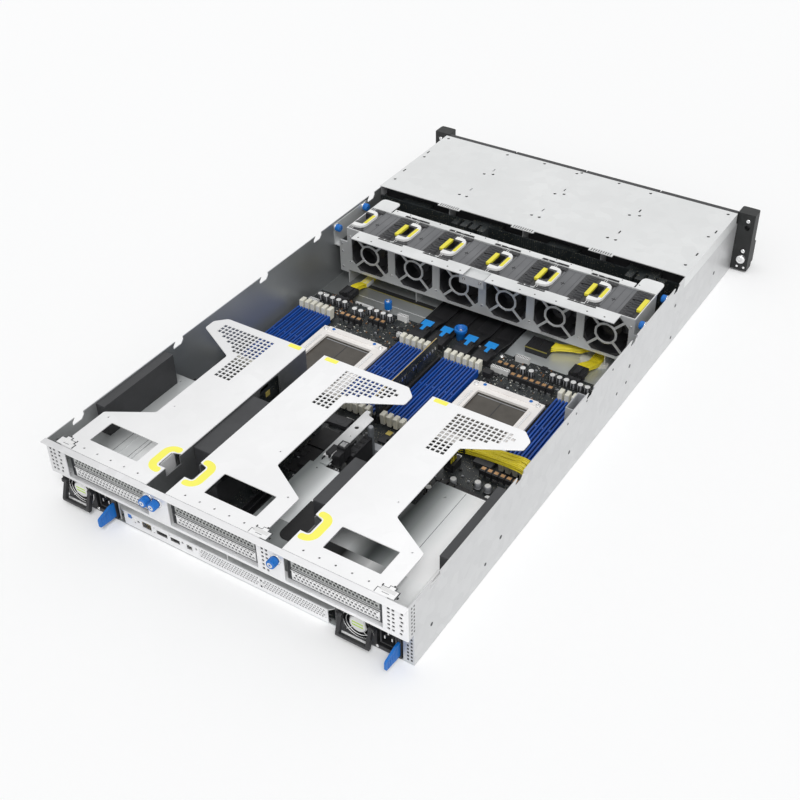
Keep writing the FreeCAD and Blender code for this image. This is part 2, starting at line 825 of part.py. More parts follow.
def fan_cage():
    """Sheet-metal carrier, made of walls, flanges and plates that stand against each other."""
    left = fan_row_start - sheet
    right = fan_row_end + sheet
    under = wall_top - sheet
    front = cage_front + sheet
    gap_start, gap_end = flange_gap
    rear_flanges = [flange(x0, x1, cage_rear - cage_rear_flange, cage_rear,
                           cage_rear - flange_notch_depth, cage_rear + 1)
                    for x0, x1 in ((left + 20, gap_start), (gap_end, right - 18))]
    front_flange = flange(left + 30, right - 30, front, front + cage_front_flange,
                          front, front + flange_notch_depth - 4)
    catch_start, catch_end, reach, depth, drop = cage_catch
    catch_rear = cage_rear - reach
    level = wall_top - drop
    catch = [box(catch_start, catch_end, catch_rear, catch_rear + sheet, level - depth, level),
             box(catch_start, catch_end, catch_rear + sheet, cage_rear, level - sheet, level)]
    floor = box(fan_row_start, fan_row_end, cage_rear + sheet, cage_front, cage_floor, cage_floor + sheet)
    ends = [box(x, x + sheet, cage_rear, front, sheet, wall_top) for x in (left, fan_row_end)]
    legs = [box(x - sheet / 2, x + sheet / 2, cage_rear + 6, cage_front - 6, sheet, cage_floor)
            for x in (fan_row_centre + fan_pitch * place for place in cage_leg_places)]
    wide, long = cage_plate
    plates = [prism([(x, front), (x + wide, front), (x + wide, front + long, cage_plate_corner),
                     (x, front + long, cage_plate_corner)], "z", under, sheet)
              for x in (left, right - wide)]
    return ([cage_wall(cage_rear, True), cage_wall(cage_front, False)] + rear_flanges + [front_flange]
            + catch + [floor] + ends + legs + plates + side_brackets(left) + side_brackets(right))


def side_brackets(end):
    """Wing against the side wall, ledge and front web between the wing and one end of the fan cage."""
    side = 1 if end > 0 else -1
    high, past = cage_wing
    drop, deep = cage_ledge
    clear, foot, head = cage_web
    ledge_top = wall_top - drop
    wall = side * inner
    spans = [(wall - side * sheet, wall, cage_rear, cage_front + sheet + past, ledge_top, ledge_top + high),
             (end, wall, cage_rear + sheet, cage_rear + sheet + deep, ledge_top - sheet, ledge_top),
             (end, wall - side * clear, cage_rear, cage_rear + sheet, foot, wall_top - head)]
    return [box(min(x0, x1), max(x0, x1), y0, y1, z0, z1) for x0, x1, y0, y1, z0, z1 in spans]


def fan_housing(index):
    """Fan module: bored block, stator on arms, finger loop and pocket, squeeze tab, ribs on top."""
    x0 = fan_row_start + fan_pitch * index + fan_side_gap
    x1 = x0 + fan_pitch - 2 * fan_side_gap
    x = (x0 + x1) / 2
    front = fan_rear + fan_depth
    top = fan_base + fan_size
    middle = fan_rear + fan_depth / 2
    block = box(x0, x1, fan_rear, front, fan_base, top)
    block = block.cut(round_bar(x, fan_axis_z, fan_bore, "y", fan_rear - 1, fan_depth + 2, 16))
    stator_start = front - 5 - stator_length
    stator = round_bar(x, fan_axis_z, hub_radius - 1, "y", stator_start, stator_length, 8)
    pin = round_bar(x, fan_axis_z, pin_radius, "y", fan_rear + 6, stator_start - fan_rear - 6, 6)
    reach = fan_bore + fan_rim / 4
    arms = [box(x - reach, x + reach, front - 8, front - 5,
                fan_axis_z - stator_arm / 2, fan_axis_z + stator_arm / 2),
            box(x - stator_arm / 2, x + stator_arm / 2, front - 8, front - 5,
                fan_axis_z - reach, fan_axis_z + reach)]
    y0 = middle - grip_span / 2
    y1 = middle + grip_span / 2
    grip = prism([
        (x0, y0), (x0 + grip_reach, y0, 10), (x0 + grip_reach, y1, 10), (x0, y1),
        (x0, y1 - grip_arm), (x0 + grip_reach - grip_bar, y1 - grip_arm, 3),
        (x0 + grip_reach - grip_bar, y0 + grip_arm, 3), (x0, y0 + grip_arm),
    ], "z", top, grip_height)
    pocket = box(x0 - 1, x0 + grip_reach - grip_bar + 1, y0 + grip_arm, y1 - grip_arm,
                 top - grip_pocket, top)
    tab = box(x1 - tab_width, x1, middle - tab_span / 2, middle + tab_span / 2, top, top + grip_height)
    ribs = [box(x1 - tab_width - rib_span, x1 - tab_width - 1,
                middle + rib_pitch * (i - (rib_count - 1) / 2) - rib_width / 2,
                middle + rib_pitch * (i - (rib_count - 1) / 2) + rib_width / 2,
                top, top + rib_height) for i in range(rib_count)]
    return fuse([block.cut(pocket), stator, pin, grip, tab] + arms + ribs)


def blade(root, tip, chord, thick, pitch):
    """One fan blade: a plate with slanted ends, set at its pitch, reaching out along X."""
    profile = [(-chord / 2, 0), (chord / 2, 0), (chord / 2 - thick, thick), (-chord / 2 - thick, thick)]
    plate = prism(profile, "x", root, tip - root)
    plate.rotate(V(0, 0, 0), V(1, 0, 0), pitch)
    return plate


def rotor(x, z, start, length, hub, tip, blades, chord):
    """Hub with blades, bored for its pin."""
    body = round_bar(0, 0, hub, "y", 0, length, 12)
    pieces = [body]
    for i in range(blades):
        piece = blade(hub - 0.8, tip, chord, blade_thick, 90 - blade_pitch)
        piece.translate(V(0, length / 2, 0))
        piece.rotate(V(0, 0, 0), V(0, 1, 0), 360.0 * i / blades)
        pieces.append(piece)
    bore = round_bar(0, 0, pin_radius * pin_corner + pin_clearance, "y", -1, length + 2, 6)
    shape = fuse(pieces).cut(bore)
    shape.translate(V(x, start, z))
    return shape


def fan_rotor(index):
    start = fan_rear + fan_depth - 5 - stator_length - slide_gap - hub_length
    return rotor(fan_centre(index), fan_axis_z, start, hub_length, hub_radius,
                 fan_bore - rotor_gap, blade_count, blade_chord)


def psu(x0):
    """Power supply: fan bore with its pin, inlet, latch slot and the two lugs of the bail."""
    base = psu_base
    back = -psu_proud
    body = box(x0, x0 + psu_width, back, back + psu_length, base, base + psu_height)
    fan_x = x0 + psu_fan_x
    fan_z = base + psu_height / 2
    bore = round_bar(fan_x, fan_z, psu_fan_bore, "y", back - 1, psu_fan_depth + 1, 16)
    recess = box(x0 + inlet_x - inlet_width / 2 - 2, x0 + inlet_x + inlet_width / 2 + 2,
                 back - 1, back + inlet_recess, fan_z - inlet_height / 2 - 2, fan_z + inlet_height / 2 + 2)
    slot = box(x0 + latch_x - latch_thick / 2 - latch_slack, x0 + latch_x + latch_thick / 2 + slide_gap,
               back - 1, back + latch_root + slide_gap,
               base + latch_base - slide_gap, base + latch_base + latch_height + slide_gap)
    body = cut(body, [bore, recess, slot])
    pin = round_bar(fan_x, fan_z, pin_radius, "y", back + 5, psu_fan_depth - 5, 6)
    socket = box(x0 + inlet_x - inlet_width / 2, x0 + inlet_x + inlet_width / 2,
                 back + 2, back + inlet_recess, fan_z - inlet_height / 2, fan_z + inlet_height / 2)
    socket = socket.cut(box(x0 + inlet_x - inlet_width / 2 + 2, x0 + inlet_x + inlet_width / 2 - 2,
                            back + 1, back + inlet_recess - 1,
                            fan_z - inlet_height / 2 + 2, fan_z + inlet_height / 2 - 2))
    left, right = bail_sides(x0)
    lug_y = back - bail_pivot_out - 2.2
    pivot_z = base + bail_pivot_z
    lugs = []
    for lug_x, pin_x in ((left - slide_gap - 2.2, left - slide_gap - 2.2),
                         (right + slide_gap, right - bail_bar - slide_gap)):
        lugs.append(box(lug_x, lug_x + 2.2, lug_y, back, pivot_z - 2.2, pivot_z + 2.2))
        lugs.append(round_bar(back - bail_pivot_out, pivot_z, pin_radius, "x", pin_x,
                              2.2 + 2 * slide_gap + bail_bar, 6))
    return fuse([body, pin, socket] + lugs)


def bail_sides(x0):
    """Outer faces of a bail's two legs."""
    middle = x0 + psu_fan_x + 0.3
    return middle - bail_width / 2, middle + bail_width / 2


def psu_handle(x0):
    """Bail: two slanted legs and a bar, hung on the lugs."""
    left, right = bail_sides(x0)
    y = -psu_proud - bail_pivot_out
    z = psu_base + bail_pivot_z
    eye = 2.2
    low_y = y - bail_throw
    low_z = z - bail_drop
    profile = [(y - eye, z + eye, 2), (y + eye, z + eye, 2), (y + eye, z - eye),
               (low_y + bail_bar, low_z - bail_bar), (low_y, low_z - bail_bar, 1.5), (low_y, low_z),
               (y - eye, z - eye)]
    legs = [prism(profile, "x", x, bail_bar) for x in (left, right - bail_bar)]
    bar = prism([(low_y, low_z, 1), (low_y + bail_bar, low_z, 1),
                 (low_y + bail_bar, low_z - bail_bar, 1), (low_y, low_z - bail_bar, 1)],
                "x", left, right - left)
    eyes = [round_bar(y, z, pin_radius * pin_corner + pin_clearance, "x", x - 1, bail_bar + 2, 8)
            for x in (left, right - bail_bar)]
    return cut(fuse(legs + [bar]), eyes)


def psu_latch(x0):
    """Release latch: a flat lever whose root sits in the slot beside the inlet."""
    back = -psu_proud
    low = psu_base + latch_base
    high = low + latch_height
    tip = back - latch_reach
    profile = [(back + latch_root, low), (back + latch_root, high), (back - 6, high),
               (tip, high - 5, 3), (tip, low + 2, 2), (back - 6, low)]
    return prism(profile, "x", x0 + latch_x - latch_thick / 2, latch_thick)


def psu_rotor(x0):
    start = -psu_proud + 7
    return rotor(x0 + psu_fan_x, psu_base + psu_height / 2, start, 12.0, 7.5,
                 psu_fan_bore - rotor_gap, blade_count, 9.0)


def captive_screws():
    screws = []
    radius, length = rear_screw_size
    for x in rear_screws:
        screws.append(round_bar(x, rear_screw_z, radius, "y", -frame_proud - length, length,
                                screw_sides))
    radius, length = cage_screw_size
    level = wall_top - cage_screw_drop
    for x in (sheet - inner, inner - sheet - length):
        for y in (cage_rear + cage_screw_places[0], cage_front + cage_screw_places[1]):
            screws.append(round_bar(y, level, radius, "x", x, length, screw_sides))
    x, y, radius, height = tray_screw
    screws.append(round_bar(x, y, radius, "z", board_top, height, screw_sides))
    x, y, radius, height = tray_plunger
    screws.append(round_bar(x, y, radius, "z", sheet, height, screw_sides))
    radius, length = ear_screw_size
    for side in (-1, 1):
        screws.append(round_bar(side * rack_hole_x, ear_screw_z, radius, "y",
                                ear_rear - length, length, screw_sides))
    return screws


def drive_bay_cover():
    top = box(-half, half, bay_rear, chassis_depth, chassis_height - sheet, chassis_height)
    skirts = [box(x, x + sheet, bay_rear, chassis_depth, seam, chassis_height - sheet)
              for x in (-half, inner)]
    tabs = [box(x - cover_tab[0] / 2, x + cover_tab[0] / 2, bay_rear - cover_tab[1], bay_rear,
                chassis_height - sheet, chassis_height)
            for x in ((cell_width + partition) * i for i in (-1, 0, 1))]
    slots = []
    for column in range(drive_columns + 1):
        x = -inner + column * (cell_width + partition)
        x = min(max(x, -inner + 4), inner - 4)
        for back in cover_slot_rows:
            y = chassis_depth - back
            slots.append(box(x - cover_slot[0] / 2, x + cover_slot[0] / 2, y, y + cover_slot[1],
                             chassis_height - sheet - 1, chassis_height + 1))
    return cut(fuse([top] + skirts + tabs), slots)


def cell_corner(column, row):
    """Lower left corner of a drive cell."""
    return (-inner + column * (cell_width + partition), sheet + row * (cell_height + partition))


def drive_cage():
    rear = backplane_y + backplane_thick
    roof = chassis_height - sheet
    pieces = []
    for column in range(1, drive_columns):
        x = cell_corner(column, 0)[0]
        pieces.append(box(x - partition, x, rear, chassis_depth, sheet, roof))
    for row in range(1, drive_rows):
        z = cell_corner(0, row)[1]
        pieces.append(box(-inner, inner, rear, chassis_depth, z - partition, z))
    return fuse(pieces)


def drive_carrier(column, row):
    """Vented bezel with its lever, and the drive on its tray behind it."""
    x, z = cell_corner(column, row)
    x0, x1 = x + slide_gap, x + cell_width - slide_gap
    z0, z1 = z + slide_gap, z + cell_height - slide_gap
    y0 = chassis_depth
    y1 = y0 + bezel_depth
    bezel = box(x0, x1, y0, y1, z0, z1)
    left = x0 + lever_width + 8
    low = (z0 + z1 - bezel_vent[1]) / 2
    bezel = bezel.cut(box(left, x1 - bezel_vent[0], y0 + 2, y1 + 1, low, low + bezel_vent[1]))
    lever = prism([(x0 + 2, y1), (x0 + lever_width, y1), (x0 + lever_width - 2, y1 + 2.5),
                   (x0 + 4, y1 + 2.5)], "z", z0 + 3, z1 - z0 - 6)
    front = y0 - drive_set_back
    rear = backplane_y + backplane_thick + drive_plug_length
    drive = box(x0 + drive_rail, x1 - drive_rail, rear, front, z0, z1 - drive_headroom)
    rails = [box(a, b, rear, y0, z0 + 4, z0 + 16)
             for a, b in ((x0, x0 + drive_rail), (x1 - drive_rail, x1))]
    return fuse([bezel, lever, drive] + rails)


def backplane():
    """Board behind the drives, vented, with a plug for each drive and power blocks at its back."""
    side = inner - 2
    board = box(-side, side, backplane_y, backplane_y + backplane_thick, sheet, backplane_top)
    wide, high = backplane_vent
    vents = []
    plugs = []
    for column in range(drive_columns):
        for row in range(drive_rows):
            x, z = cell_corner(column, row)
            middle = x + cell_width / 2
            level = z + cell_height / 2
            if row == 1:
                seam_z = z - partition / 2
                vents.append(box(middle - wide / 2, middle + wide / 2, backplane_y - 1,
                                 backplane_y + backplane_thick + 1, seam_z - high / 2, seam_z + high / 2))
            plug_wide, plug_high = drive_plug
            plug_end = backplane_y + backplane_thick + drive_plug_length - slide_gap
            plugs.append(box(middle - plug_wide / 2, middle + plug_wide / 2,
                             backplane_y + backplane_thick, plug_end,
                             level - plug_high / 2 - 2, level + plug_high / 2 - 2))
    blocks = [box(x - rib_block[0] / 2, x + rib_block[0] / 2, backplane_y - rib_block[1], backplane_y,
                  backplane_top - rib_block[2], backplane_top) for x in rib_blocks]
    return fuse([cut(board, vents)] + plugs + blocks)


def rack_ear(side):
    """Ear at one side: a rounded block with the rack hole, and a latch lug standing forward."""
    near = inner
    far = rack_half
    plan = [(near, ear_rear), (far, ear_rear), (far, ear_rear + ear_depth, ear_round),
            (near, ear_rear + ear_depth, ear_round)]
    block = prism(plan, "z", ear_base, chassis_height - ear_drop - ear_base)
    low, high, reach = ear_latch
    lug = box(far - 9, far - 2, ear_rear + ear_depth, ear_rear + ear_depth + reach, low, high)
    hole = Part.makeCylinder(rack_hole_radius, ear_depth + 2,
                             V(rack_hole_x, ear_rear - 1, chassis_height - rack_hole_drop), V(0, 1, 0))
    ear = fuse([block, lug]).cut(hole)
    return ear if side > 0 else ear.mirror(V(0, 0, 0), V(1, 0, 0))


def data_cable(x):
    """Flat cable from its board plug, under the fan cage, to the backplane, with its pull tab."""
    deep, high = data_socket
    wide = data_cable_width
    level = board_top + high / 2
    start = data_socket_y + deep
    low = sheet + slide_gap + data_cable_thick / 2
    path = [(start + data_plug_length, level), (board_end + 4, level), (board_end + 26, low + 1.5),
            (cage_front, low + 1.5), (cage_front + 18, level + 2),
            (backplane_y, level + 2)]
    cable = strip(path, data_bend, data_cable_thick, "x", x - data_cable_width / 2, data_cable_width)
    plug = box(x - wide / 2, x + wide / 2, start, start + data_plug_length, board_top, board_top + high + 2)
    tab_wide, tab_long, tab_thick = pull_tab
    top = board_top + high + 2
    tab = box(x - tab_wide / 2, x + tab_wide / 2, start + 6, start + 6 + tab_long + 6, top, top + tab_thick)
    return fuse([cable, plug, tab])


def front_lead(plug_x, x, width):
    """Lead from its board plug under the fan cage to the backplane."""
    deep, high = lead_plug
    level = board_top + high / 2
    start = board_end + deep - 2
    low = sheet + slide_gap + lead_thick / 2
    path = [(start - 2, level), (start + 8, level), (start + 26, low), (cage_front, low),
            (cage_front + 18, level), (backplane_y, level)]
    plug = box(plug_x - lead_socket[0] / 2, plug_x + lead_socket[0] / 2, start - deep, start,
               board_top, board_top + high)
    return fuse([strip(path, data_bend, lead_thick, "x", x - width / 2, width), plug])


def power_leads():
    pieces = [front_lead(plug_x, x, width) for plug_x, x, width in front_leads]
    x0, x1 = side_lead
    foot = board_top + side_lead_socket
    arch = strip([(x0, foot), (x0, side_lead_top), (x1, side_lead_top), (x1, foot)], side_lead_bend,
                 lead_thick, "y", side_lead_y, side_lead_width)
    left, right, rear, front, high = inline_box
    inline = box(left, right, rear, front, sheet, sheet + high)
    turn, end = inline_turns
    lead = strip([(right - 1, front - 6), turn, end, (end[0], backplane_y)], side_lead_bend, lead_thick,
                 "z", inline_lead_base, lead_thick)
    return pieces + [arch, fuse([inline, lead])]


def lead_sockets():
    wide, deep, high = lead_socket
    blocks = [box(plug_x - wide / 2, plug_x + wide / 2, board_end - deep, board_end - deep / 2,
                  board_top, board_top + high) for plug_x, x, width in front_leads]
    for x in side_lead:
        blocks.append(box(x - deep / 2, x + deep / 2, side_lead_y - 1,
                          side_lead_y + side_lead_width + 1, board_top, board_top + side_lead_socket))
    return blocks


def finned_sink():
    x, y, wide, deep, high = heat_sink
    base = box(x, x + wide, y, y + deep, board_top, board_top + 3)
    pitch = (wide - sheet) / (heat_sink_fins - 1)
    fins = [box(x + pitch * i, x + pitch * i + sheet, y, y + deep, board_top + 3, board_top + high)
            for i in range(heat_sink_fins)]
    return fuse([base] + fins)


def board_components():
    parts = [finned_sink()]
    wide, deep, high = choke_size
    for x, y, count, pitch in choke_rows:
        for i in range(count):
            left = (x + i * pitch) * per_width - wide / 2
            rear = y * per_depth - deep / 2
            parts.append(box(left, left + wide, rear, rear + deep, board_top, board_top + high))
    for x, y, count, pitch in capacitor_rows:
        for i in range(count):
            parts.append(round_bar((x + i * pitch) * per_width, y * per_depth, capacitor_radius, "z",
                                   board_top, capacitor_height, 6))
    deep, high = data_socket
    wide = data_cable_width
    for x in data_cables:
        parts.append(box(x - wide / 2, x + wide / 2, data_socket_y, data_socket_y + deep,
                         board_top, board_top + high + 2))
    offset, wide, deep, high = psu_socket
    start = psu_length - psu_proud + psu_socket_gap
    for x0 in (left_psu_x, right_psu_x):
        parts.append(box(x0 + offset, x0 + offset + wide, max(start, board_step),
                         max(start, board_step) + deep, board_top, board_top + high))
    for name, edge, side in risers:
        parts.append(edge_slot(edge + side * card_offset, riser_slot_start, riser_slot_length))
    parts.append(edge_slot(0, centre_card_start - 2, centre_card_end - centre_card_start + 4))
    return parts + lead_sockets()


def side_port_bracket():
    """Port box on the right-hand wall, open towards the top."""
    wide, long, high = side_port
    top = wall_top - sheet
    shell = box(inner - wide, inner, side_port_y, side_port_y + long, top - high, top)
    return shell.cut(box(inner - wide + sheet, inner - sheet, side_port_y + sheet,
                         side_port_y + long - sheet, top - high + sheet, top + 1))


save("chassis_base", chassis_base())
save("rear_panel", rear_panel())
save("io_panel", io_panel())
save("io_connectors", *[port_socket(*port) for port in io_ports])
save("psu_bay_covers", *psu_bay_covers())
save("air_baffles", *air_baffles())
board, posts = motherboard()
save("motherboard", board, *posts)
save("cpu_sockets", *[piece for x in socket_centres() for piece in cpu_socket(x)])
save("memory_sockets", *[memory_socket(x) for x in memory_places()])
save("memory_latches_front", *memory_latches(memory_start + memory_length, 1))
save("memory_latches_rear", *memory_latches(memory_start, -1))
save("board_components", *board_components())
save("center_card", center_card())
save("side_port_bracket", side_port_bracket())
save("fan_cage", *fan_cage())
save("captive_screws", *captive_screws())
save("backplane", backplane())
save("drive_cage", drive_cage())
save("drive_bay_cover", drive_bay_cover())
save("rack_ears", rack_ear(-1), rack_ear(1))
save("data_cables", *[data_cable(x) for x in data_cables])
save("power_leads", *power_leads())

cage_pieces = riser_cage()
card = riser_card()
for name, edge, side in risers:
    save("riser_" + name, *[placed(piece, edge, side) for piece in cage_pieces])
    save("riser_card_" + name, placed(card, edge, side))

for index in range(fan_count):
    save("fan_" + str(index + 1), fan_housing(index))
    save("fan_rotor_" + str(index + 1), fan_rotor(index))

for name, x0 in (("left", left_psu_x), ("right", right_psu_x)):
    save("psu_" + name, psu(x0))
    save("psu_handle_" + name, psu_handle(x0))
    save("psu_latch_" + name, psu_latch(x0))
    save("psu_rotor_" + name, psu_rotor(x0))

for row in range(drive_rows):
    for column in range(drive_columns):
        number = row * drive_columns + column + 1
        save("drive_carrier_" + str(number), drive_carrier(column, row))
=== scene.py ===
import math
import random

import bmesh
import bpy
from mathutils import Matrix, Vector


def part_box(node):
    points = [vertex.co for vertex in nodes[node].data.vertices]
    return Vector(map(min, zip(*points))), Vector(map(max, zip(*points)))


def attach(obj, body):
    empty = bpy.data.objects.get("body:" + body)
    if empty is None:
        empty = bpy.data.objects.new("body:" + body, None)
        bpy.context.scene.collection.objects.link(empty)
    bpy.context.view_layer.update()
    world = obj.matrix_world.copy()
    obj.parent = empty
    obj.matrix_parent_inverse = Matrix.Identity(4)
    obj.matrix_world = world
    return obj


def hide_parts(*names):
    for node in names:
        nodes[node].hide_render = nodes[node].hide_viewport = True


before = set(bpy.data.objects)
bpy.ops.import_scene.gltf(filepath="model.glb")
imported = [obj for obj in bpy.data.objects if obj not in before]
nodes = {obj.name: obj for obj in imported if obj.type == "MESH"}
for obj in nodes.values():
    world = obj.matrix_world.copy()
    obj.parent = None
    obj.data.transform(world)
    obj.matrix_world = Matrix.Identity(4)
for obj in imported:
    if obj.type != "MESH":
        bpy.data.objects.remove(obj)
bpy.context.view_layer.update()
scene = bpy.context.scene

# Lengths below are millimetres from the rear end of the bottom sheet, as in the part's own sizes
SHIFT = 399.5


def node_corners(node):
    """Lowest and highest corner of a CAD node at rest, in these lengths."""
    places = [corner * 1000 + Vector((0, SHIFT, 0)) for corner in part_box(node)]
    return [[round(value, 2) for value in place] for place in places]


def node_left(node):
    return node_corners(node)[0][0]


def node_right(node):
    return node_corners(node)[1][0]


def node_bottom(node):
    return node_corners(node)[0][2]


def node_top(node):
    return node_corners(node)[1][2]


half, ear_back, wall_top = node_corners("chassis_base")[1]
sheet = 1.2
inside = round(half - sheet, 2)
deck = node_bottom("rear_panel")
shelf_top = node_top("psu_bay_covers")
shelf_level = round(shelf_top - sheet / 2, 2)
cover_level = round(wall_top + sheet / 2, 2)
board_top = node_top("motherboard")
fan_gap = 0.35
fan_start = round(node_left("fan_1") - fan_gap, 2)
fan_pitch = round(node_left("fan_2") - node_left("fan_1"), 2)
fan_centre = 52.5
fan_top = 82.3
cage_rear = 499.5
guard_ring = 14.0
guard_bar = 2.4
memory_banks = (-182.5, -31.5, 31.5, 182.5)
memory_pitch = 8.5
processors = (-107, 107)
rear_screws = (-82.3, -70.7, 74.5)
rear_screw_height = 69
riser_bottom = node_bottom("riser_left")
risers = (
    ("left", node_right("riser_left"), -1),
    ("centre", node_left("riser_centre"), 1),
    ("right", node_left("riser_right"), 1),
)
power_supplies = tuple((side, node_left("psu_" + side)) for side in ("left", "right"))


def at(x, y, z):
    """Point in the scene, in metres."""
    return Vector((x / 1000, (y - SHIFT) / 1000, z / 1000))


# Materials

class Shader:
    """Small helper round one material's nodes."""

    def __init__(self, name):
        self.material = bpy.data.materials.new(name)
        self.material.use_nodes = True
        self.tree = self.material.node_tree
        self.surface = self.tree.nodes["Principled BSDF"]
        self.coords = self.tree.nodes.new("ShaderNodeTexCoord").outputs["Object"]

    def put(self, socket, value):
        if isinstance(value, bpy.types.NodeSocket):
            self.tree.links.new(value, socket)
        else:
            socket.default_value = value

    def node(self, kind, *inputs, **settings):
        made = self.tree.nodes.new(kind)
        for key, value in settings.items():
            setattr(made, key, value)
        for i, value in enumerate(inputs):
            if value is not None:
                self.put(made.inputs[i], value)
        return made

    def math(self, operation, a, b=0.0):
        return self.node("ShaderNodeMath", a, b, operation=operation).outputs[0]

    def noise(self, scale, detail=3.0, stretch=(1, 1, 1)):
        spread = self.node("ShaderNodeMapping", self.coords)
        spread.inputs["Scale"].default_value = stretch
        made = self.node("ShaderNodeTexNoise", spread.outputs[0])
        made.inputs["Scale"].default_value = scale
        made.inputs["Detail"].default_value = detail
        return made.outputs[0]

    def ramp(self, value, stops):
        made = self.node("ShaderNodeValToRGB", value)
        ramp = made.color_ramp
        while len(ramp.elements) < len(stops):
            ramp.elements.new(0.5)
        for element, (place, color) in zip(ramp.elements, stops):
            element.position = place
            element.color = (*color, 1)
        return made.outputs[0]

    def mix(self, share, a, b):
        made = self.tree.nodes.new("ShaderNodeMix")
        made.data_type = "RGBA"
        for socket, value in ((made.inputs[0], share), (made.inputs[6], a), (made.inputs[7], b)):
            if isinstance(value, tuple):
                value = (*value, 1)
            self.put(socket, value)
        return made.outputs[2]

    def mottle(self, dark, light, scale, detail=3.0, ends=(0.3, 0.7), stretch=(1, 1, 1)):
        """Two tones in soft patches."""
        return self.ramp(self.noise(scale, detail, stretch), [(ends[0], dark), (ends[1], light)])

    def crystals(self, scale):
        """A grey of its own for each crystal patch."""
        cells = self.node("ShaderNodeTexVoronoi", self.coords)
        cells.inputs["Scale"].default_value = scale
        return self.node("ShaderNodeSeparateColor", cells.outputs["Color"]).outputs[0]

    def scaled(self, value, width, start):
        return self.math("ADD", self.math("MULTIPLY", value, width), start)

    def share(self, value, low, high):
        """0 at the low value and 1 at the high one."""
        return self.math("MULTIPLY", self.math("SUBTRACT", value, low), 1 / (high - low))

    def both(self, a, b):
        return self.math("MULTIPLY", a, b)

    def above(self, value, level):
        return self.math("GREATER_THAN", value, level)

    def below(self, value, level):
        return self.math("LESS_THAN", value, level)

    def between(self, value, low, high):
        """1 where the value lies between the two, in millimetres."""
        return self.both(self.above(value, low), self.below(value, high))

    def place(self):
        """X, Y and Z of the surface in millimetres, measured as the sizes are."""
        parts = self.node("ShaderNodeSeparateXYZ", self.coords).outputs
        x, y, z = (self.math("MULTIPLY", part, 1000.0) for part in parts)
        return x, self.math("ADD", y, SHIFT), z

    def finish(self, color, rough, metallic=0.0, bump=None, strength=0.1, depth=0.0002):
        self.put(self.surface.inputs["Base Color"], color if not isinstance(color, tuple) else (*color, 1))
        self.put(self.surface.inputs["Roughness"], rough)
        self.surface.inputs["Metallic"].default_value = metallic
        if bump is not None:
            relief = self.node("ShaderNodeBump")
            relief.inputs["Strength"].default_value = strength
            relief.inputs["Distance"].default_value = depth
            self.put(relief.inputs["Height"], bump)
            self.put(self.surface.inputs["Normal"], relief.outputs[0])
        return self.material


def shade(color, factor):
    return tuple(min(1.0, c * factor) for c in color)


def greys(*stops):
    """Ramp stops from (place, red, green and blue), for steel that is a little cooler than grey."""
    return [(place, (red, rest, rest)) for place, red, rest in stops]


clear = (0.0, 0.0, 0.0)
full = (1.0, 1.0, 1.0)


def metal(name, color, rough=0.36, spangle=90.0, metallic=0.8, contrast=0.07, across=None):
    """Zinc-coated or plated steel: crystal patches, faint drawing lines and handling marks. across, when
    given, is painted shade: (x, share of tone kept) pairs that darken the steel along X.
    """
    s = Shader(name)
    ends = [(0.0, shade(color, 1 - contrast)), (1.0, shade(color, 1 + contrast))]
    patches = s.ramp(s.crystals(spangle), ends)
    tone = s.mix(s.mottle(clear, full, 9.0, 5.0, (0.35, 0.75)), patches, shade(color, 0.93))
    # Painted shade: the across pairs darken the tone along X.
    if across:
        place = s.share(s.place()[0], -220.0, 220.0)
        painted_shade = s.ramp(place, [((x + 220.0) / 440.0, (1 - keep,) * 3) for x, keep in across])
        tone = s.mix(painted_shade, tone, clear)
    roughness = s.scaled(s.noise(60.0, 4.0, (1, 0.06, 1)), 0.16, rough - 0.08)
    return s.finish(tone, roughness, metallic, s.noise(900.0, 2.0, (1, 0.2, 1)), 0.06)


def plastic(name, color, rough=0.5, grain=1600.0, vary=0.12, strength=0.12):
    """Moulded plastic with a fine grain and slightly uneven colour."""
    s = Shader(name)
    tone = s.mottle(shade(color, 1 - vary), shade(color, 1 + vary), 35.0, 4.0)
    return s.finish(tone, s.scaled(s.noise(120.0), 0.15, rough - 0.07), 0.0, s.noise(grain, 2.0), strength)


def circuit_board(name, mask, trace):
    """Dark solder mask with fine traces, pads and plated vias."""
    s = Shader(name)
    lines = s.node("ShaderNodeTexBrick", s.coords)
    for key, value in (("Scale", 160.0), ("Mortar Size", 0.035), ("Color1", (*mask, 1)),
                       ("Color2", (*shade(mask, 1.25), 1)), ("Mortar", (*trace, 1))):
        lines.inputs[key].default_value = value
    routes = s.mix(s.mottle(clear, full, 45.0, 6.0, (0.45, 0.6)), lines.outputs[0], mask)
    vias = s.node("ShaderNodeTexVoronoi", s.coords)
    vias.inputs["Scale"].default_value = 420.0
    tone = s.mix(s.below(vias.outputs["Distance"], 0.14), routes, (0.42, 0.38, 0.26))
    return s.finish(tone, 0.42, 0.0, s.noise(500.0), 0.08)


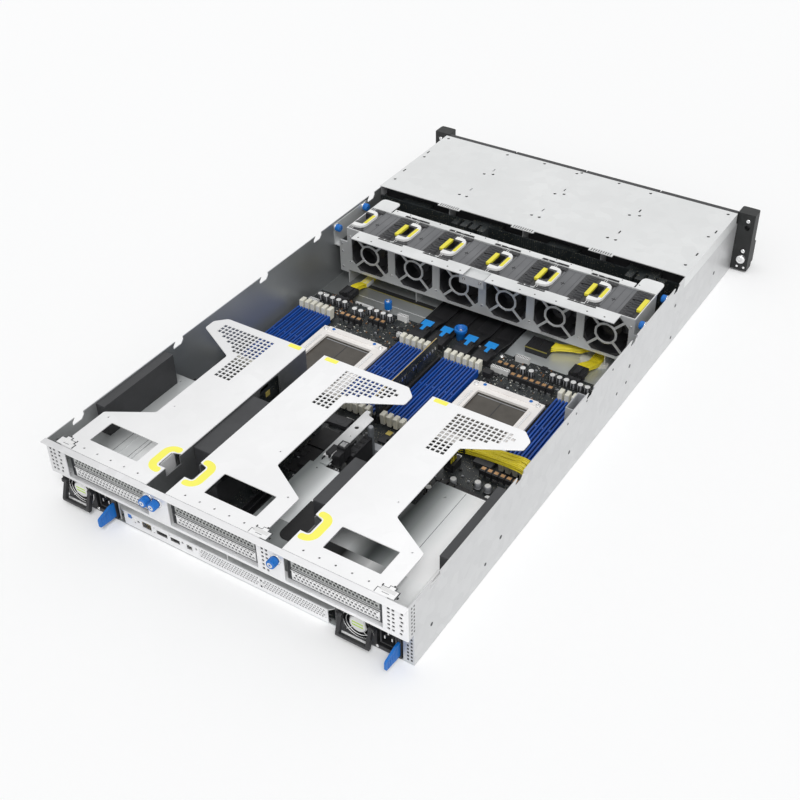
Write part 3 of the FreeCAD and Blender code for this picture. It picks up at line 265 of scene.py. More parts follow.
def fan_plastic():
    """Fan module: dark body, smooth grey panel, white loop with a yellow pad, yellow squeeze tab."""
    s = Shader("fan_module")
    x, y, z = s.place()
    across = s.math("MODULO", s.math("SUBTRACT", x, fan_start - 10 * fan_pitch), fan_pitch)
    proud = s.above(z, 82.6)
    grain = s.mottle((0.016, 0.016, 0.018), (0.028, 0.028, 0.030), 40.0, 4.0)
    panel = s.mottle((0.105, 0.108, 0.115), (0.145, 0.148, 0.155), 25.0, 5.0)
    tone = s.mix(s.both(s.above(z, 82.2), s.between(across, 17.5, 44.0)), grain, panel)
    loop = s.both(proud, s.below(across, 20.0))
    rim = s.both(s.between(across, 7.6, 12.0), s.between(y, 517.5, 543.2))
    ends = s.both(s.below(across, 12.0), s.between(y, 515.8, 545.0))
    loop = s.math("SUBTRACT", loop, s.both(loop, s.math("MAXIMUM", rim, ends)))
    tone = s.mix(loop, tone, s.mottle((0.80, 0.80, 0.79), (0.88, 0.88, 0.87), 60.0))
    pad = s.both(loop, s.both(s.between(across, 11.9, 16.4), s.between(y, 518.5, 541.5)))
    tab = s.both(proud, s.above(across, 60.4))
    tone = s.mix(s.math("MAXIMUM", pad, tab), tone, (0.83, 0.74, 0.05))
    return s.finish(tone, 0.45, 0.0, s.noise(1400.0, 2.0), 0.14)


def cage_steel():
    """Fan cage: darker walls, and flanges on top painted lighter as light falls on them from above."""
    s = Shader("fan_cage_steel")
    walls = s.mottle((0.64, 0.65, 0.65), (0.74, 0.75, 0.75), 12.0, 5.0, (0.3, 0.75))
    flanges_painted_light = s.mottle((0.68, 0.69, 0.69), (0.82, 0.83, 0.83), 20.0, 5.0, (0.3, 0.75))
    # The flanges on top are painted light; the walls below stay darker.
    tone = s.mix(s.above(s.place()[2], 82.9), walls, flanges_painted_light)
    return s.finish(tone, s.scaled(s.noise(70.0), 0.2, 0.32), 0.55, s.noise(900.0), 0.05)


def cable_film():
    """Flat black cable film whose pull tabs are light blue."""
    s = Shader("cable_film")
    x, y, z = s.place()
    tone = s.mottle((0.010, 0.010, 0.011), (0.022, 0.022, 0.024), 30.0, 4.0, stretch=(3, 0.4, 1))
    tab = 0.0
    for middle in (-47.0, -19.0, 16.0, 44.0):
        off = s.math("ABSOLUTE", s.math("SUBTRACT", x, middle))
        head = s.both(s.below(off, 7.2), s.above(y, 449.0))
        tab = s.math("MAXIMUM", s.math("MAXIMUM", head, s.below(off, 2.4)), tab)
    tone = s.mix(s.both(tab, s.above(z, 14.9)), tone, (0.02, 0.30, 0.80))
    return s.finish(tone, 0.42, 0.0, s.noise(700.0), 0.1)


def processor_socket():
    """Socket frame and the brown-grey plate inside it."""
    s = Shader("processor_socket")
    frame_tone = s.mottle((0.86, 0.82, 0.79), (0.96, 0.93, 0.90), 50.0, 4.0)
    plate_tone = s.mottle((0.058, 0.051, 0.042), (0.080, 0.071, 0.060), 70.0, 4.0)
    tone = s.mix(s.below(s.place()[2], 13.0), frame_tone, plate_tone)
    return s.finish(tone, 0.42, 0.0, s.noise(1200.0, 2.0), 0.1)


def bay_steel():
    """Bay covers: bands of painted reflection and painted shade across the sheet, a left part with drawing
    streaks and painted shade by the wall, and painted light on the bracket bar.
    """
    s = Shader("bay_cover_steel")
    x, y = s.place()[:2]
    # Painted reflections and painted shade: light and dark bands along X, one set in front of y 56 and one
    # behind.
    sway = s.both(s.math("SUBTRACT", s.noise(16.0, 3.0, (1, 0.12, 1)), 0.5), 34.0)
    along = s.share(s.math("ADD", x, sway), 0.0, 220.0)
    front = s.ramp(along, greys(
        (0.02, 0.26, 0.28), (0.08, 0.48, 0.50), (0.16, 0.93, 0.95), (0.50, 0.90, 0.92),
        (0.60, 0.09, 0.10), (0.68, 0.32, 0.34), (0.75, 0.86, 0.88), (0.84, 0.98, 0.98)))
    rear = s.ramp(along, greys(
        (0.0, 0.34, 0.36), (0.2, 0.42, 0.44), (0.5, 0.02, 0.02), (0.57, 0.45, 0.46),
        (0.63, 0.95, 0.95), (0.70, 0.55, 0.56), (0.78, 0.03, 0.03), (0.83, 0.97, 0.98)))
    streak = s.mottle((0.78, 0.80, 0.80), (0.97, 0.98, 0.98), 40.0, 4.0, (0.35, 0.65), (1, 0.03, 1))
    # Left cover: drawing streaks, with painted shade darkening it towards the left wall.
    edge = s.ramp(s.share(x, -218.0, -178.0), [(0.0, (0.7, 0.7, 0.7)), (1.0, clear)])
    left = s.mix(edge, streak, (0.10, 0.11, 0.11))
    tone = s.mix(s.below(y, 56.0), front, rear)
    tone = s.mix(s.below(x, -100.0), tone, left)
    # Painted light on the bracket bar, lighter towards the front.
    bar = s.ramp(s.share(y, 150.0, 230.0), greys((0.1, 0.30, 0.31), (0.4, 0.62, 0.63), (0.85, 0.97, 0.97)))
    tone = s.mix(s.both(s.above(y, 160.0), s.between(x, 0.0, 20.6)), tone, bar)
    return s.finish(tone, s.scaled(s.noise(70.0), 0.16, 0.3), 0.3, s.noise(900.0), 0.05)


def chassis_steel():
    """Chassis: pale outside, painted shade and painted dark reflections on the inner left wall, and painted
    shade on the floor tray, darker on its left.
    """
    s = Shader("chassis_steel")
    x, y, z = s.place()
    tone = s.ramp(s.crystals(90.0), [(0.0, (0.60, 0.605, 0.61)), (1.0, (0.64, 0.645, 0.65))])
    clouds = s.both(s.math("SUBTRACT", s.noise(9.0, 5.0, (1, 0.4, 1)), 0.5), 0.25)
    # Painted shade on the floor tray: dark on the left, lighter to the right.
    tray = s.ramp(s.math("ADD", s.share(x, -220.0, 220.0), clouds),
                  [(0.0, (0.20, 0.21, 0.21)), (0.2, (0.32, 0.33, 0.33)), (0.36, (0.46, 0.48, 0.48)),
                   (0.62, (0.62, 0.65, 0.66)), (0.78, (0.74, 0.77, 0.78)), (1.0, (0.55, 0.57, 0.57))])
    tone = s.mix(s.both(s.between(x, -217.3, 217.3), s.below(z, 2.3)), tone, tray)
    # Painted shade and painted dark reflections in bands along the inner left wall.
    wall = s.ramp(s.math("ADD", s.share(y, 0.0, 620.0), clouds),
                  [(0.0, (0.42, 0.43, 0.43)), (0.14, (0.46, 0.47, 0.48)), (0.3, (0.26, 0.28, 0.30)),
                   (0.42, (0.36, 0.38, 0.40)), (0.6, (0.40, 0.42, 0.43)), (0.75, (0.28, 0.29, 0.30)),
                   (1.0, (0.24, 0.25, 0.25))])
    tone = s.mix(s.between(x, -218.5, -217.3), tone, wall)
    roughness = s.scaled(s.noise(60.0, 4.0, (1, 0.06, 1)), 0.16, 0.3)
    return s.finish(tone, roughness, 0.6, s.noise(900.0, 2.0, (1, 0.2, 1)), 0.06)


def psu_case():
    """Plated case with a black rear face."""
    s = Shader("power_supply_case")
    steel = s.ramp(s.crystals(80.0), [(0.0, (0.60, 0.61, 0.62)), (1.0, (0.70, 0.71, 0.72))])
    face = s.below(s.place()[1], 23.0)
    dark = s.mottle((0.012, 0.012, 0.013), (0.030, 0.030, 0.032), 80.0)
    made = s.finish(s.mix(face, steel, dark), 0.38, 0.8, s.noise(900.0), 0.05)
    s.put(s.surface.inputs["Metallic"], s.math("SUBTRACT", 0.8, s.both(face, 0.8)))
    return made


zinc = metal("zinc_steel", (0.74, 0.75, 0.76), 0.36, 90.0, 0.7)
# Riser and rear steel: painted shade darkens them towards the left.
bright = metal("bright_steel", (0.98, 0.98, 0.985), 0.38, 60.0, 0.25, 0.015,
               ((-215, 0.80), (-110, 0.90), (-40, 0.95), (215, 1.0)))
rear_steel = metal("rear_steel", (0.94, 0.94, 0.95), 0.40, 80.0, 0.3, 0.04,
                   ((-215, 0.72), (-60, 0.90), (215, 1.0)))
wall_steel = metal("riser_wall_steel", (0.19, 0.195, 0.20), 0.42, 80.0, 0.6)
cover_steel = metal("cover_steel", (0.76, 0.77, 0.77), 0.40, 70.0, 0.6, 0.03)
dark_steel = metal("dark_steel", (0.085, 0.09, 0.095), 0.42, 80.0, 0.6)
# Darker grey copy of the sheet steel, for parts in painted shade.
shaded_grey_steel = metal("shaded_grey_steel", (0.48, 0.49, 0.48), 0.4, 90.0, 0.4)
silver = metal("silver_fittings", (0.80, 0.80, 0.80), 0.25, 300.0, 0.95, 0.02)
gold = metal("gold_contacts", (0.75, 0.56, 0.22), 0.3, 400.0, 0.9, 0.03)
black = plastic("black_plastic", (0.020, 0.020, 0.022), 0.48)
soft_black = plastic("black_film", (0.010, 0.010, 0.011), 0.6, 700.0)
baffle_black = plastic("baffle_plastic", (0.040, 0.041, 0.044), 0.6)
ear_black = plastic("ear_plastic", (0.009, 0.010, 0.010), 0.55)
white = plastic("white_plastic", (0.78, 0.78, 0.77), 0.45)
cream = plastic("latch_cream", (0.78, 0.76, 0.66), 0.42, 1600.0, 0.06)
blue = plastic("touch_blue", (0.003, 0.14, 0.50), 0.42, 1600.0, 0.08)
memory_blue = plastic("memory_blue", (0.003, 0.070, 0.375), 0.42)
yellow = plastic("touch_yellow", (0.98, 0.93, 0.13), 0.42, 1600.0, 0.02, 0.04)
yellow_wire = plastic("wire_yellow", (0.86, 0.72, 0.03), 0.34, 1600.0, 0.1, 0.04)
lead_trim = plastic("sleeve_stripe", (0.30, 0.26, 0.05), 0.5)
clear_white = plastic("guard_white", (0.66, 0.66, 0.62), 0.3, 1600.0, 0.1, 0.05)
lime_label = plastic("card_label_lime", (0.62, 0.70, 0.06), 0.5)
lime = plastic("label_lime", (0.50, 0.72, 0.08), 0.5)
copper = metal("choke_tops", (0.62, 0.36, 0.17), 0.4, 300.0, 0.5, 0.2)
orange = plastic("small_part_brown", (0.26, 0.13, 0.06), 0.5)
smoke_grey = plastic("smoke_grey", (0.13, 0.14, 0.15), 0.35)
brass = metal("brass_cap", (0.72, 0.58, 0.16), 0.35, 300.0, 0.4, 0.05)
grey = plastic("grey_plastic", (0.36, 0.37, 0.39), 0.5)
board_black = circuit_board("solder_mask", (0.010, 0.013, 0.014), (0.060, 0.066, 0.068))
cage_finish = cage_steel()
bay_cover_steel = bay_steel()
rib_grey = plastic("rib_grey", (0.050, 0.051, 0.055), 0.5)
rotor_black = plastic("rotor_plastic", (0.020, 0.020, 0.022), 0.4)

finishes = {
    "chassis_base": chassis_steel(), "rear_panel": rear_steel, "io_panel": rear_steel, "io_connectors": black,
    "psu_bay_covers": bay_cover_steel, "air_baffles": baffle_black, "motherboard": board_black,
    "cpu_sockets": processor_socket(), "memory_sockets": memory_blue,
    "memory_latches_front": cream, "memory_latches_rear": cream, "board_components": black,
    "center_card": board_black, "side_port_bracket": grey, "fan_cage": cage_finish,
    "captive_screws": blue, "backplane": board_black, "drive_cage": zinc,
    "drive_bay_cover": cover_steel, "rack_ears": ear_black, "data_cables": cable_film(),
    "power_leads": yellow_wire,
}
by_start = (("riser_card", board_black), ("riser_", bright), ("fan_rotor", rotor_black),
            ("fan_", fan_plastic()), ("psu_rotor", rotor_black), ("psu_handle", black), ("psu_latch", blue),
            ("psu_", psu_case()), ("drive_carrier", black))
for name, obj in nodes.items():
    finish = finishes.get(name) or next(made for start, made in by_start if name.startswith(start))
    if not obj.material_slots:
        obj.data.materials.append(finish)
    for slot in obj.material_slots:
        slot.material = finish


def break_edges(obj, width):
    """Bevel on sharp edges alone, its width in millimetres."""
    bevel = obj.modifiers.new("edges", "BEVEL")
    bevel.width = width / 1000
    bevel.segments = 2
    bevel.limit_method = "ANGLE"
    bevel.angle_limit = math.radians(35)


def soften(name, width):
    """Small rounded edges on a CAD node, so that they catch the light."""
    obj = nodes[name]
    weld = obj.modifiers.new("weld", "WELD")
    weld.merge_threshold = 0.00001
    break_edges(obj, width)


# Mesh building

class Build:
    """Collects boxes, bars and plates in one mesh, each with its own material."""

    def __init__(self):
        self.mesh = bmesh.new()
        self.materials = []

    def index(self, finish):
        if finish not in self.materials:
            self.materials.append(finish)
        return self.materials.index(finish)

    def box(self, x0, x1, y0, y1, z0, z1, finish):
        corners = [self.mesh.verts.new(at(x, y, z)) for x in (x0, x1) for y in (y0, y1) for z in (z0, z1)]
        faces = ((0, 1, 3, 2), (4, 6, 7, 5), (0, 4, 5, 1), (2, 3, 7, 6), (0, 2, 6, 4), (1, 5, 7, 3))
        for loop in faces:
            face = self.mesh.faces.new([corners[i] for i in loop])
            face.material_index = self.index(finish)

    def skin(self, rings, finish, closed=False, smooth=False):
        """Side faces from ring to ring, each of equally many points. Gives the rows of corners."""
        rows = [[self.mesh.verts.new(at(*p)) for p in ring] for ring in rings]
        for low, high in zip(rows, rows[1:] + rows[:closed]):
            for i in range(len(low)):
                j = (i + 1) % len(low)
                face = self.mesh.faces.new([low[i], low[j], high[j], high[i]])
                face.smooth = smooth
                face.material_index = self.index(finish)
        return rows

    def loft(self, rings, finish, smooth=False):
        """Skin through rings, with a face at both ends."""
        rows = self.skin(rings, finish, smooth=smooth)
        for end in (rows[0][::-1], rows[-1]):
            self.mesh.faces.new(end).material_index = self.index(finish)

    def turned(self, x, y, z, axis, profile, finish, sides=24, ridges=0.0, smooth=True):
        """Turned piece: profile is (distance along the axis, radius) pairs from its base."""
        rings = []
        for along, radius in profile:
            ring = []
            for i in range(sides):
                r = radius - (ridges if i % 2 and radius > 1.5 else 0.0)
                a = 2 * math.pi * i / sides
                u, v = r * math.cos(a), r * math.sin(a)
                spots = {"z": (x + u, y + v, z + along), "y": (x + v, y + along, z + u),
                         "x": (x + along, y + u, z + v)}
                ring.append(spots[axis])
            rings.append(ring)
        self.loft(rings, finish, smooth and not ridges)

    def plate(self, outer, holes, axis, level, thick, finish, edge=0.12):
        """Sheet-metal plate with holes, its edges slightly broken. level is its middle."""
        curve = bpy.data.curves.new("outline", "CURVE")
        curve.dimensions = "2D"
        curve.fill_mode = "BOTH"
        curve.extrude = (thick / 2 - edge) / 1000
        curve.bevel_depth = edge / 1000
        curve.bevel_resolution = 0
        for loop in [outer] + holes:
            spline = curve.splines.new("POLY")
            spline.points.add(len(loop) - 1)
            for point, (a, b) in zip(spline.points, loop):
                point.co = (a / 1000, b / 1000, 0, 1)
            spline.use_cyclic_u = True
        holder = bpy.data.objects.new("outline", curve)
        scene.collection.objects.link(holder)
        flat = bpy.data.meshes.new_from_object(holder)
        bpy.data.objects.remove(holder)
        number = self.index(finish)
        fresh = []
        for vertex in flat.vertices:
            a, b, c = vertex.co * 1000
            c += level
            place = {"z": (a, b, c), "y": (a, c, b), "x": (c, a, b)}[axis]
            fresh.append(self.mesh.verts.new(at(*place)))
        for polygon in flat.polygons:
            loop = [fresh[i] for i in polygon.vertices]
            if axis == "y":
                loop.reverse()
            try:
                face = self.mesh.faces.new(loop)
            except ValueError:
                continue
            face.material_index = number
        bpy.data.meshes.remove(flat)

    def wire(self, points, radius, finish, sides=6):
        """Round wire along a smooth line through the points."""
        line = smooth_line(points)
        rings = []
        for i, spot in enumerate(line):
            ahead = (line[min(i + 1, len(line) - 1)] - line[max(i - 1, 0)]).normalized()
            helper = Vector((0.13, 0.21, 1)) if abs(ahead.z) < 0.8 else Vector((0, 1, 0.1))
            side = ahead.cross(helper).normalized()
            over = side.cross(ahead)
            angles = [2 * math.pi * k / sides for k in range(sides)]
            rings.append([spot + side * radius * math.cos(a) + over * radius * math.sin(a) for a in angles])
        self.loft(rings, finish, True)

    def make(self, name, body, bevel=0.0):
        mesh = bpy.data.meshes.new(name)
        bmesh.ops.recalc_face_normals(self.mesh, faces=self.mesh.faces)
        self.mesh.to_mesh(mesh)
        self.mesh.free()
        for finish in self.materials:
            mesh.materials.append(finish)
        obj = bpy.data.objects.new(name, mesh)
        scene.collection.objects.link(obj)
        if bevel:
            break_edges(obj, bevel)
        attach(obj, body)
        return obj


def smooth_line(points, steps=5):
    """Points along a smooth line through the given points."""
    spots = [Vector(p) for p in points]
    line = []
    for i in range(len(spots) - 1):
        a, b, c, d = spots[max(i - 1, 0)], spots[i], spots[i + 1], spots[min(i + 2, len(spots) - 1)]
        for k in range(steps):
            t = k / steps
            line.append(0.5 * (2 * b + (c - a) * t + (2 * a - 5 * b + 4 * c - d) * t * t
                               + (3 * b - a - 3 * c + d) * t ** 3))
    line.append(spots[-1])
    return line


def rect(x0, x1, y0, y1):
    return [(x0, y0), (x1, y0), (x1, y1), (x0, y1)]


def circle(x, y, radius, sides=16):
    return [(x + radius * math.cos(2 * math.pi * i / sides), y + radius * math.sin(2 * math.pi * i / sides))
            for i in range(sides)]


def rounded(points, steps=5):
    """Closed outline whose corners with a third number are rounded to that radius."""
    loop = []
    count = len(points)
    for i, point in enumerate(points):
        here = Vector(point[:2])
        if len(point) == 2:
            loop.append(tuple(here))
            continue
        back = (Vector(points[i - 1][:2]) - here).normalized()
        ahead = (Vector(points[(i + 1) % count][:2]) - here).normalized()
        half_angle = back.angle(ahead) / 2
        centre = here + (back + ahead).normalized() * (point[2] / math.sin(half_angle))
        start = here + back * (point[2] / math.tan(half_angle)) - centre
        end = here + ahead * (point[2] / math.tan(half_angle)) - centre
        turn = start.angle(end)
        for k in range(steps + 1):
            t = turn * k / steps
            spot = centre + (start * math.sin(turn - t) + end * math.sin(t)) / math.sin(turn)
            loop.append(tuple(spot))
    return loop


# Riser cages: cover plate with its vent grid, side wall, rear bracket and vented slot blanks

riser_plan = [
    (0, -8), (114, -8), (114, 54, 3), (66.5, 82, 5), (66.5, 199, 5), (122.5, 229, 4),
    (122.5, 244, 6), (110.5, 256, 6), (0, 256), (0, 45), (10, 42, 3), (10, 20, 3), (0, 20),
]
# Holes in each row of a cover's vent grid, from the front row to the rear one
short_vents = (12, 13, 12, 11, 9, 7, 5, 4, 4, 4, 4, 4)
vent_rows = {"left": (13, 13, 13, 11, 9, 7, 6, 4, 4, 4, 4, 4, 4, 4, 4), "centre": short_vents,
             "right": short_vents}


def riser_outline(edge, side, points):
    """Outline whose X is measured from a riser's edge, turned the same way round on both sides."""
    placed = [(edge + side * p[0], *p[1:]) for p in points]
    return placed if side > 0 else placed[::-1]


def riser_span(edge, side, a, b):
    """Two places measured from a riser's edge, in rising order."""
    return sorted((edge + side * a, edge + side * b))


def riser_cover(made, name, edge, side):
    """Top plate with its window, vent grid and small holes."""
    window = [(30.5, 12.5, 1), (94.5, 12.5, 1), (94.5, 45, 1), (30.5, 45, 1)]
    holes = [riser_outline(edge, side, rounded(window, 3))]
    start, pitch = (38.2, 5.52) if name == "left" else (39.0, 5.6)
    for row, columns in enumerate(vent_rows[name]):
        y = 243.4 - 5.5 * row
        for column in range(columns):
            x = start + pitch * column
            holes.append(riser_outline(edge, side, rect(x - 2.15, x + 2.15, y - 2.15, y + 2.15)))
    for x in (18, 36, 54, 72, 90):
        holes.append(riser_outline(edge, side, circle(x, 0.2, 1.3, 10)))
    for x, y, r in ((104, 50, 1.2), (57, 100, 1.1)):
        holes.append(riser_outline(edge, side, circle(x, y, r, 12)))
    made.plate(riser_outline(edge, side, rounded(riser_plan)), holes, "z", cover_level, sheet, bright)


def riser_wall(made, name, edge, side):
    """Side wall with its slots. The left one shows the end of a card behind it."""
    wall = [(-4, riser_bottom), (255, riser_bottom), (255, wall_top), (42, wall_top), (42, 74.4), (20, 74.4),
            (20, wall_top), (-4, wall_top)]
    slots = [rounded([(y, 58, 3), (y + 34, 58, 3), (y + 34, 72, 3), (y, 72, 3)], 4) for y in (70, 122)]
    slots += [circle(y, 49, 1.6, 10) for y in (30, 100, 175, 240)]
    if name == "left":
        slots.append(rounded([(166, 55, 1), (205, 55, 1), (205, 82.6, 5), (172, 82.6, 5)], 3))
        made.plate(rect(150, 222, 48, 82), [], "x", edge - 4.6, 1.2, board_black)
        made.box(edge - 4.0, edge - 3.2, 173, 190, 75.0, 79.4, lime_label)
        made.box(edge - 4.0, edge - 2.8, 184, 191, 63, 69.5, brass)
        for y, z in ((176, 68), (179, 65), (195, 71), (197, 66), (186, 59), (176, 60)):
            made.box(edge - 4.0, edge - 3.2, y, y + 2.2, z, z + 1.6, silver)
        for y in (165.2, 205.4):
            made.box(edge - 1.3, edge + 0.15, y - 0.5, y + 0.5, 54.5, 83.5, silver)
        lug = [(22, 61.5), (44, 61.5), (44, 83.6), (24.5, 83.6), (22, 80)]
        made.plate(lug, [], "x", edge - 9.8, 0.8, bright, 0.1)
        # Plate low in the notch, in painted shade.
        made.plate(rect(edge - 9.4, edge - 1.4, 22, 43), [], "z", 61.5, 0.8, shaded_grey_steel, 0.1)
    else:
        slots += [rect(y, y + 5, 76, 79) for y in (185, 200, 215)]
    made.plate(wall, slots, "x", edge + side * sheet / 2, sheet, wall_steel)


def riser_rear(made, edge, side):
    """Rear bracket with two vented slot blanks. The bracket is painted dark as shade, a dark sheet behind the
    blanks is painted shade, the lower blank is painted lit and the upper one painted in shade.
    """
    x0, x1 = riser_span(edge, side, 1.2, 110)
    b0, b1 = riser_span(edge, side, 9, 101)
    gaps = [rect(b0, b1, 47.5, 58.1), rect(b0, b1, 63.5, 74.1)]
    # Bracket plate in dark steel: painted shade.
    made.plate(rect(x0, x1, riser_bottom, wall_top), gaps, "y", -3.4, sheet, dark_steel)
    # Dark sheet behind the blanks: painted shade seen through their vents.
    made.box(b0, b1, -2.7, -2.4, 46, 75.5, soft_black)
    c0, c1 = riser_span(edge, side, 6, 104)
    # The lower blank is painted lit in bright steel, the upper one painted in shade in grey steel.
    for low, finish in ((46.0, bright), (62.0, shaded_grey_steel)):
        vents = []
        for row in range(3):
            z = low + 1.1 + row * 4.05
            for column in range(23 - row % 2):
                x = c0 + 3.0 + (column + row % 2 / 2) * 4.17
                vents.append(rect(x - 1.5, x + 1.5, z, z + 3.05))
        made.plate(rect(c0, c1, low, low + 13.6), vents, "y", -4.6, sheet, finish, 0.05)
        made.box(c0, c1, -6.4, -5.2, low + 12.6, low + 13.6, silver)


def riser_trim(made, edge, side):
    """Rear latch with painted shadow lines and a painted shadow outline round it, and the yellow marks on the
    cover.
    """
    def flat(plan, level, thick, finish, cut, openings=()):
        holes = [riser_outline(edge, side, opening) for opening in openings]
        made.plate(riser_outline(edge, side, plan), holes, "z", level, thick, finish, cut)

    latch = [(101, -7.6), (121, -7.6), (121, 1.4), (116, 1.4), (116, 4.6), (110.5, 4.6), (110.5, 1.4),
             (104, 1.4), (104, -2), (101, -2)]
    flat(latch, 86.0, 0.8, bright, 0.1, (rect(106.5, 114.5, -5.2, -4.2), circle(118, -1.2, 0.9, 8)))
    flat(rect(103.5, 119.5, -3.4, 0.8), 86.5, 0.2, silver, 0.04)
    # Short dark marks round the latch: painted shadow lines.
    for a, b in ((102.2, 3.4), (112.8, 6.2), (122.4, -4)):
        made.box(*riser_span(edge, side, a, a + 1.4), b - 1.2, b + 1.2, 85.2, 85.75, soft_black)
    finger_mark = [(2.2, 10.4, 3.4), (20.6, 10.4, 13), (20.6, 51.6, 13), (2.2, 51.6, 3.4), (2.2, 44, 3.2),
                   (11.8, 44, 5), (11.8, 18, 5), (2.2, 18, 3.2)]
    flat(rounded(finger_mark, 7), 85.68, 0.16, yellow, 0.04)
    # Dark plate just under the latch: painted shadow outline.
    shadow = [(99.8, -7.4), (122.2, -7.4), (122.2, 2.6), (117.2, 2.6), (117.2, 5.8), (109.4, 5.8),
              (109.4, 2.6), (102.8, 2.6), (102.8, -0.8), (99.8, -0.8)]
    flat(shadow, 85.66, 0.1, dark_steel, 0.03)
    front_mark = [(4.5, 249, 1), (20.5, 249, 1), (20.5, 255.2, 1), (4.5, 255.2, 1)]
    flat(rounded(front_mark, 3), 85.68, 0.16, yellow, 0.04)


def riser(name, edge, side):
    body = "riser_" + name
    made = Build()
    riser_cover(made, name, edge, side)
    riser_wall(made, name, edge, side)
    riser_rear(made, edge, side)
    riser_trim(made, edge, side)
    obj = made.make(body + "_sheet_metal", body)
    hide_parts(body)


for placed_riser in risers:
    riser(*placed_riser)


# Riser cards: slots with contact grooves, and small parts on the board

def riser_card_details(name, edge, side):
    made = Build()
    for level in (52.2, 68.2):
        x0, x1 = riser_span(edge, side, 4.8, 15.9)
        made.box(x0, x1, 78.2, 166.8, level - 3.65, level - 0.9, black)
        made.box(x0, x1, 78.2, 166.8, level + 0.9, level + 3.65, black)
        for k in range(36):
            y = 82 + k * 2.3
            made.box(*riser_span(edge, side, 15.7, 16.2), y, y + 1.0, level - 1.6, level - 0.9, gold)
    rng = random.Random(7 + int(edge))
    for _ in range(40):
        y = rng.uniform(172, 244)
        z = rng.uniform(47, 79)
        w, h = rng.choice(((1.6, 0.9), (3.0, 1.6), (4.5, 4.5), (2.2, 1.3)))
        x0, x1 = riser_span(edge, side, 4.8, 4.8 + rng.choice((0.6, 0.9, 1.4)))
        made.box(x0, x1, y, y + w, z, z + h, rng.choice((black, orange, silver)))
    x0, x1 = riser_span(edge, side, 4.8, 12)
    made.box(x0, x1, 178, 194, 52, 60, yellow)
    made.box(x0, x1, 196, 210, 52, 60, black)
    made.make("riser_card_parts_" + name, "riser_" + name, 0.15)


for placed_riser in risers:
    riser_card_details(*placed_riser)


# Upper rear frame, with its openings and the small square vents beside them

def rear_frame():
    made = Build()
    holes = []
    for x in (-139.3, -2.7, 137.8):
        holes.append(rounded([(x - 54.5, 45, 1), (x + 54.5, 45, 1), (x + 54.5, 76, 1), (x - 54.5, 76, 1)], 3))
    for start, columns, rows in ((198.5, 2, 6), (211.5, 1, 6), (-214.0, 2, 6), (-202.5, 1, 6), (58.6, 2, 6)):
        for column in range(columns):
            for row in range(rows):
                x = start + column * 5.0 + (1.2 if row % 2 and columns == 1 else 0)
                z = 48.5 + row * 5.2
                holes.append(rect(x - 1.6, x + 1.6, z - 1.6, z + 1.6))
    made.plate(rect(-half, half, deck, wall_top), holes, "y", -9.4, sheet, rear_steel)
    made.plate(rect(-half, half, -16, -8.8), [], "z", cover_level, sheet, rear_steel)
    notches = [circle(x, -3.5, 1.5, 10) for x in (-200, -150, -100, -40, 20, 70, 120, 190)]
    made.plate(rect(-inside, inside, -8.8, 2), notches, "z", shelf_level, sheet, rear_steel)
    for x in rear_screws:
        made.turned(x, -10, rear_screw_height, "y", [(0, 6.2), (-0.7, 6.2), (-0.7, 4.0)], silver, 24)
    # Dark sheets behind the square vents: painted shade seen through the holes.
    for a, b in ((-217, -198), (56, 73), (195, 217)):
        made.box(a, b, -8.7, -8.4, 44, 78, soft_black)
    for i in range(8):
        for x in (212.2, 216.2):
            made.box(x - 1, x + 1, -0.08, 0.1, 4.2 + 4.7 * i, 6.6 + 4.7 * i, soft_black)
        for y in (-3.4, 0.6):
            made.box(218.9, 219.06, y - 0.9, y + 0.9, 46 + 4.7 * i, 48.2 + 4.7 * i, rib_grey)
    obj = made.make("rear_frame_sheet_metal", "server")
    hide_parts("rear_panel")


rear_frame()


# Lower rear panel with ports and perforated blanks

# Each port's middle across and up, its width and its height
ports = ((-103.8, 11.5, 13.0, 9.0), (-83.5, 10.5, 15.0, 6.0), (-66.0, 10.5, 13.0, 6.0),
         (-47.0, 11.0, 8.0, 7.0))
# Perforated blanks, from and to across
blanks = ((-33.0, 42.0), (46.0, 120.0))


def lower_panel():
    made = Build()
    left, right = -141.7, 130.8
    face = rect(left + 7.3, right - 8, sheet, 19.2)
    holes = [rect(x - w / 2, x + w / 2, z - h / 2, z + h / 2) for x, z, w, h in ports]
    for start, end in blanks:
        for i in range(int((end - start) / 3.3)):
            for row in range(4):
                x = start + 1.2 + (i + row % 2 / 2) * 3.3
                holes.append(circle(x, 6.6 + row * 3.0, 1.36, 8))
        # Dark sheet behind the blank's holes: painted shade.
        made.box(start - 1, end + 2, 1.4, 1.6, 4.5, 17.4, soft_black)
        for x in (start - 1, end):
            made.box(x, x + 1, -0.35, 0.05, 6.4, 16.2, silver)
    lights = ((-124, 14, 1.3), (-120, 9, 1.2), (-115, 12, 1.9), (-93.6, 14.5, 1.1), (-93.6, 8, 1.1),
              (-73, 14.8, 1.1), (-56, 13, 1.7), (-38, 13.5, 1.5))
    holes += [circle(x, z, r, 8) for x, z, r in lights]
    # Dark strip behind the lower left of the face: painted shadow band.
    made.box(-130, -34, 1.4, 1.6, 4.5, 6.6, soft_black)
    made.plate(face, holes, "y", 0.6, sheet, rear_steel, 0.1)
    for x in (125.6, 43.8):
        for z in (6.5, 14.5):
            made.box(x - 1, x + 1, -0.25, 0.05, z - 1, z + 1, soft_black)
    top = rounded([(left - 0.6, 0, 8), (right - 8, 0), (right, 8), (right, 52), (left - 0.6, 52)])
    dots = [circle(x, 45, 1.3, 10) for x in (-120, -60, 30, 90)]
    made.plate(top, dots, "z", 18.6, sheet, cover_steel)
    obj = made.make("lower_panel_sheet_metal", "server")
    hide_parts("io_panel")


lower_panel()


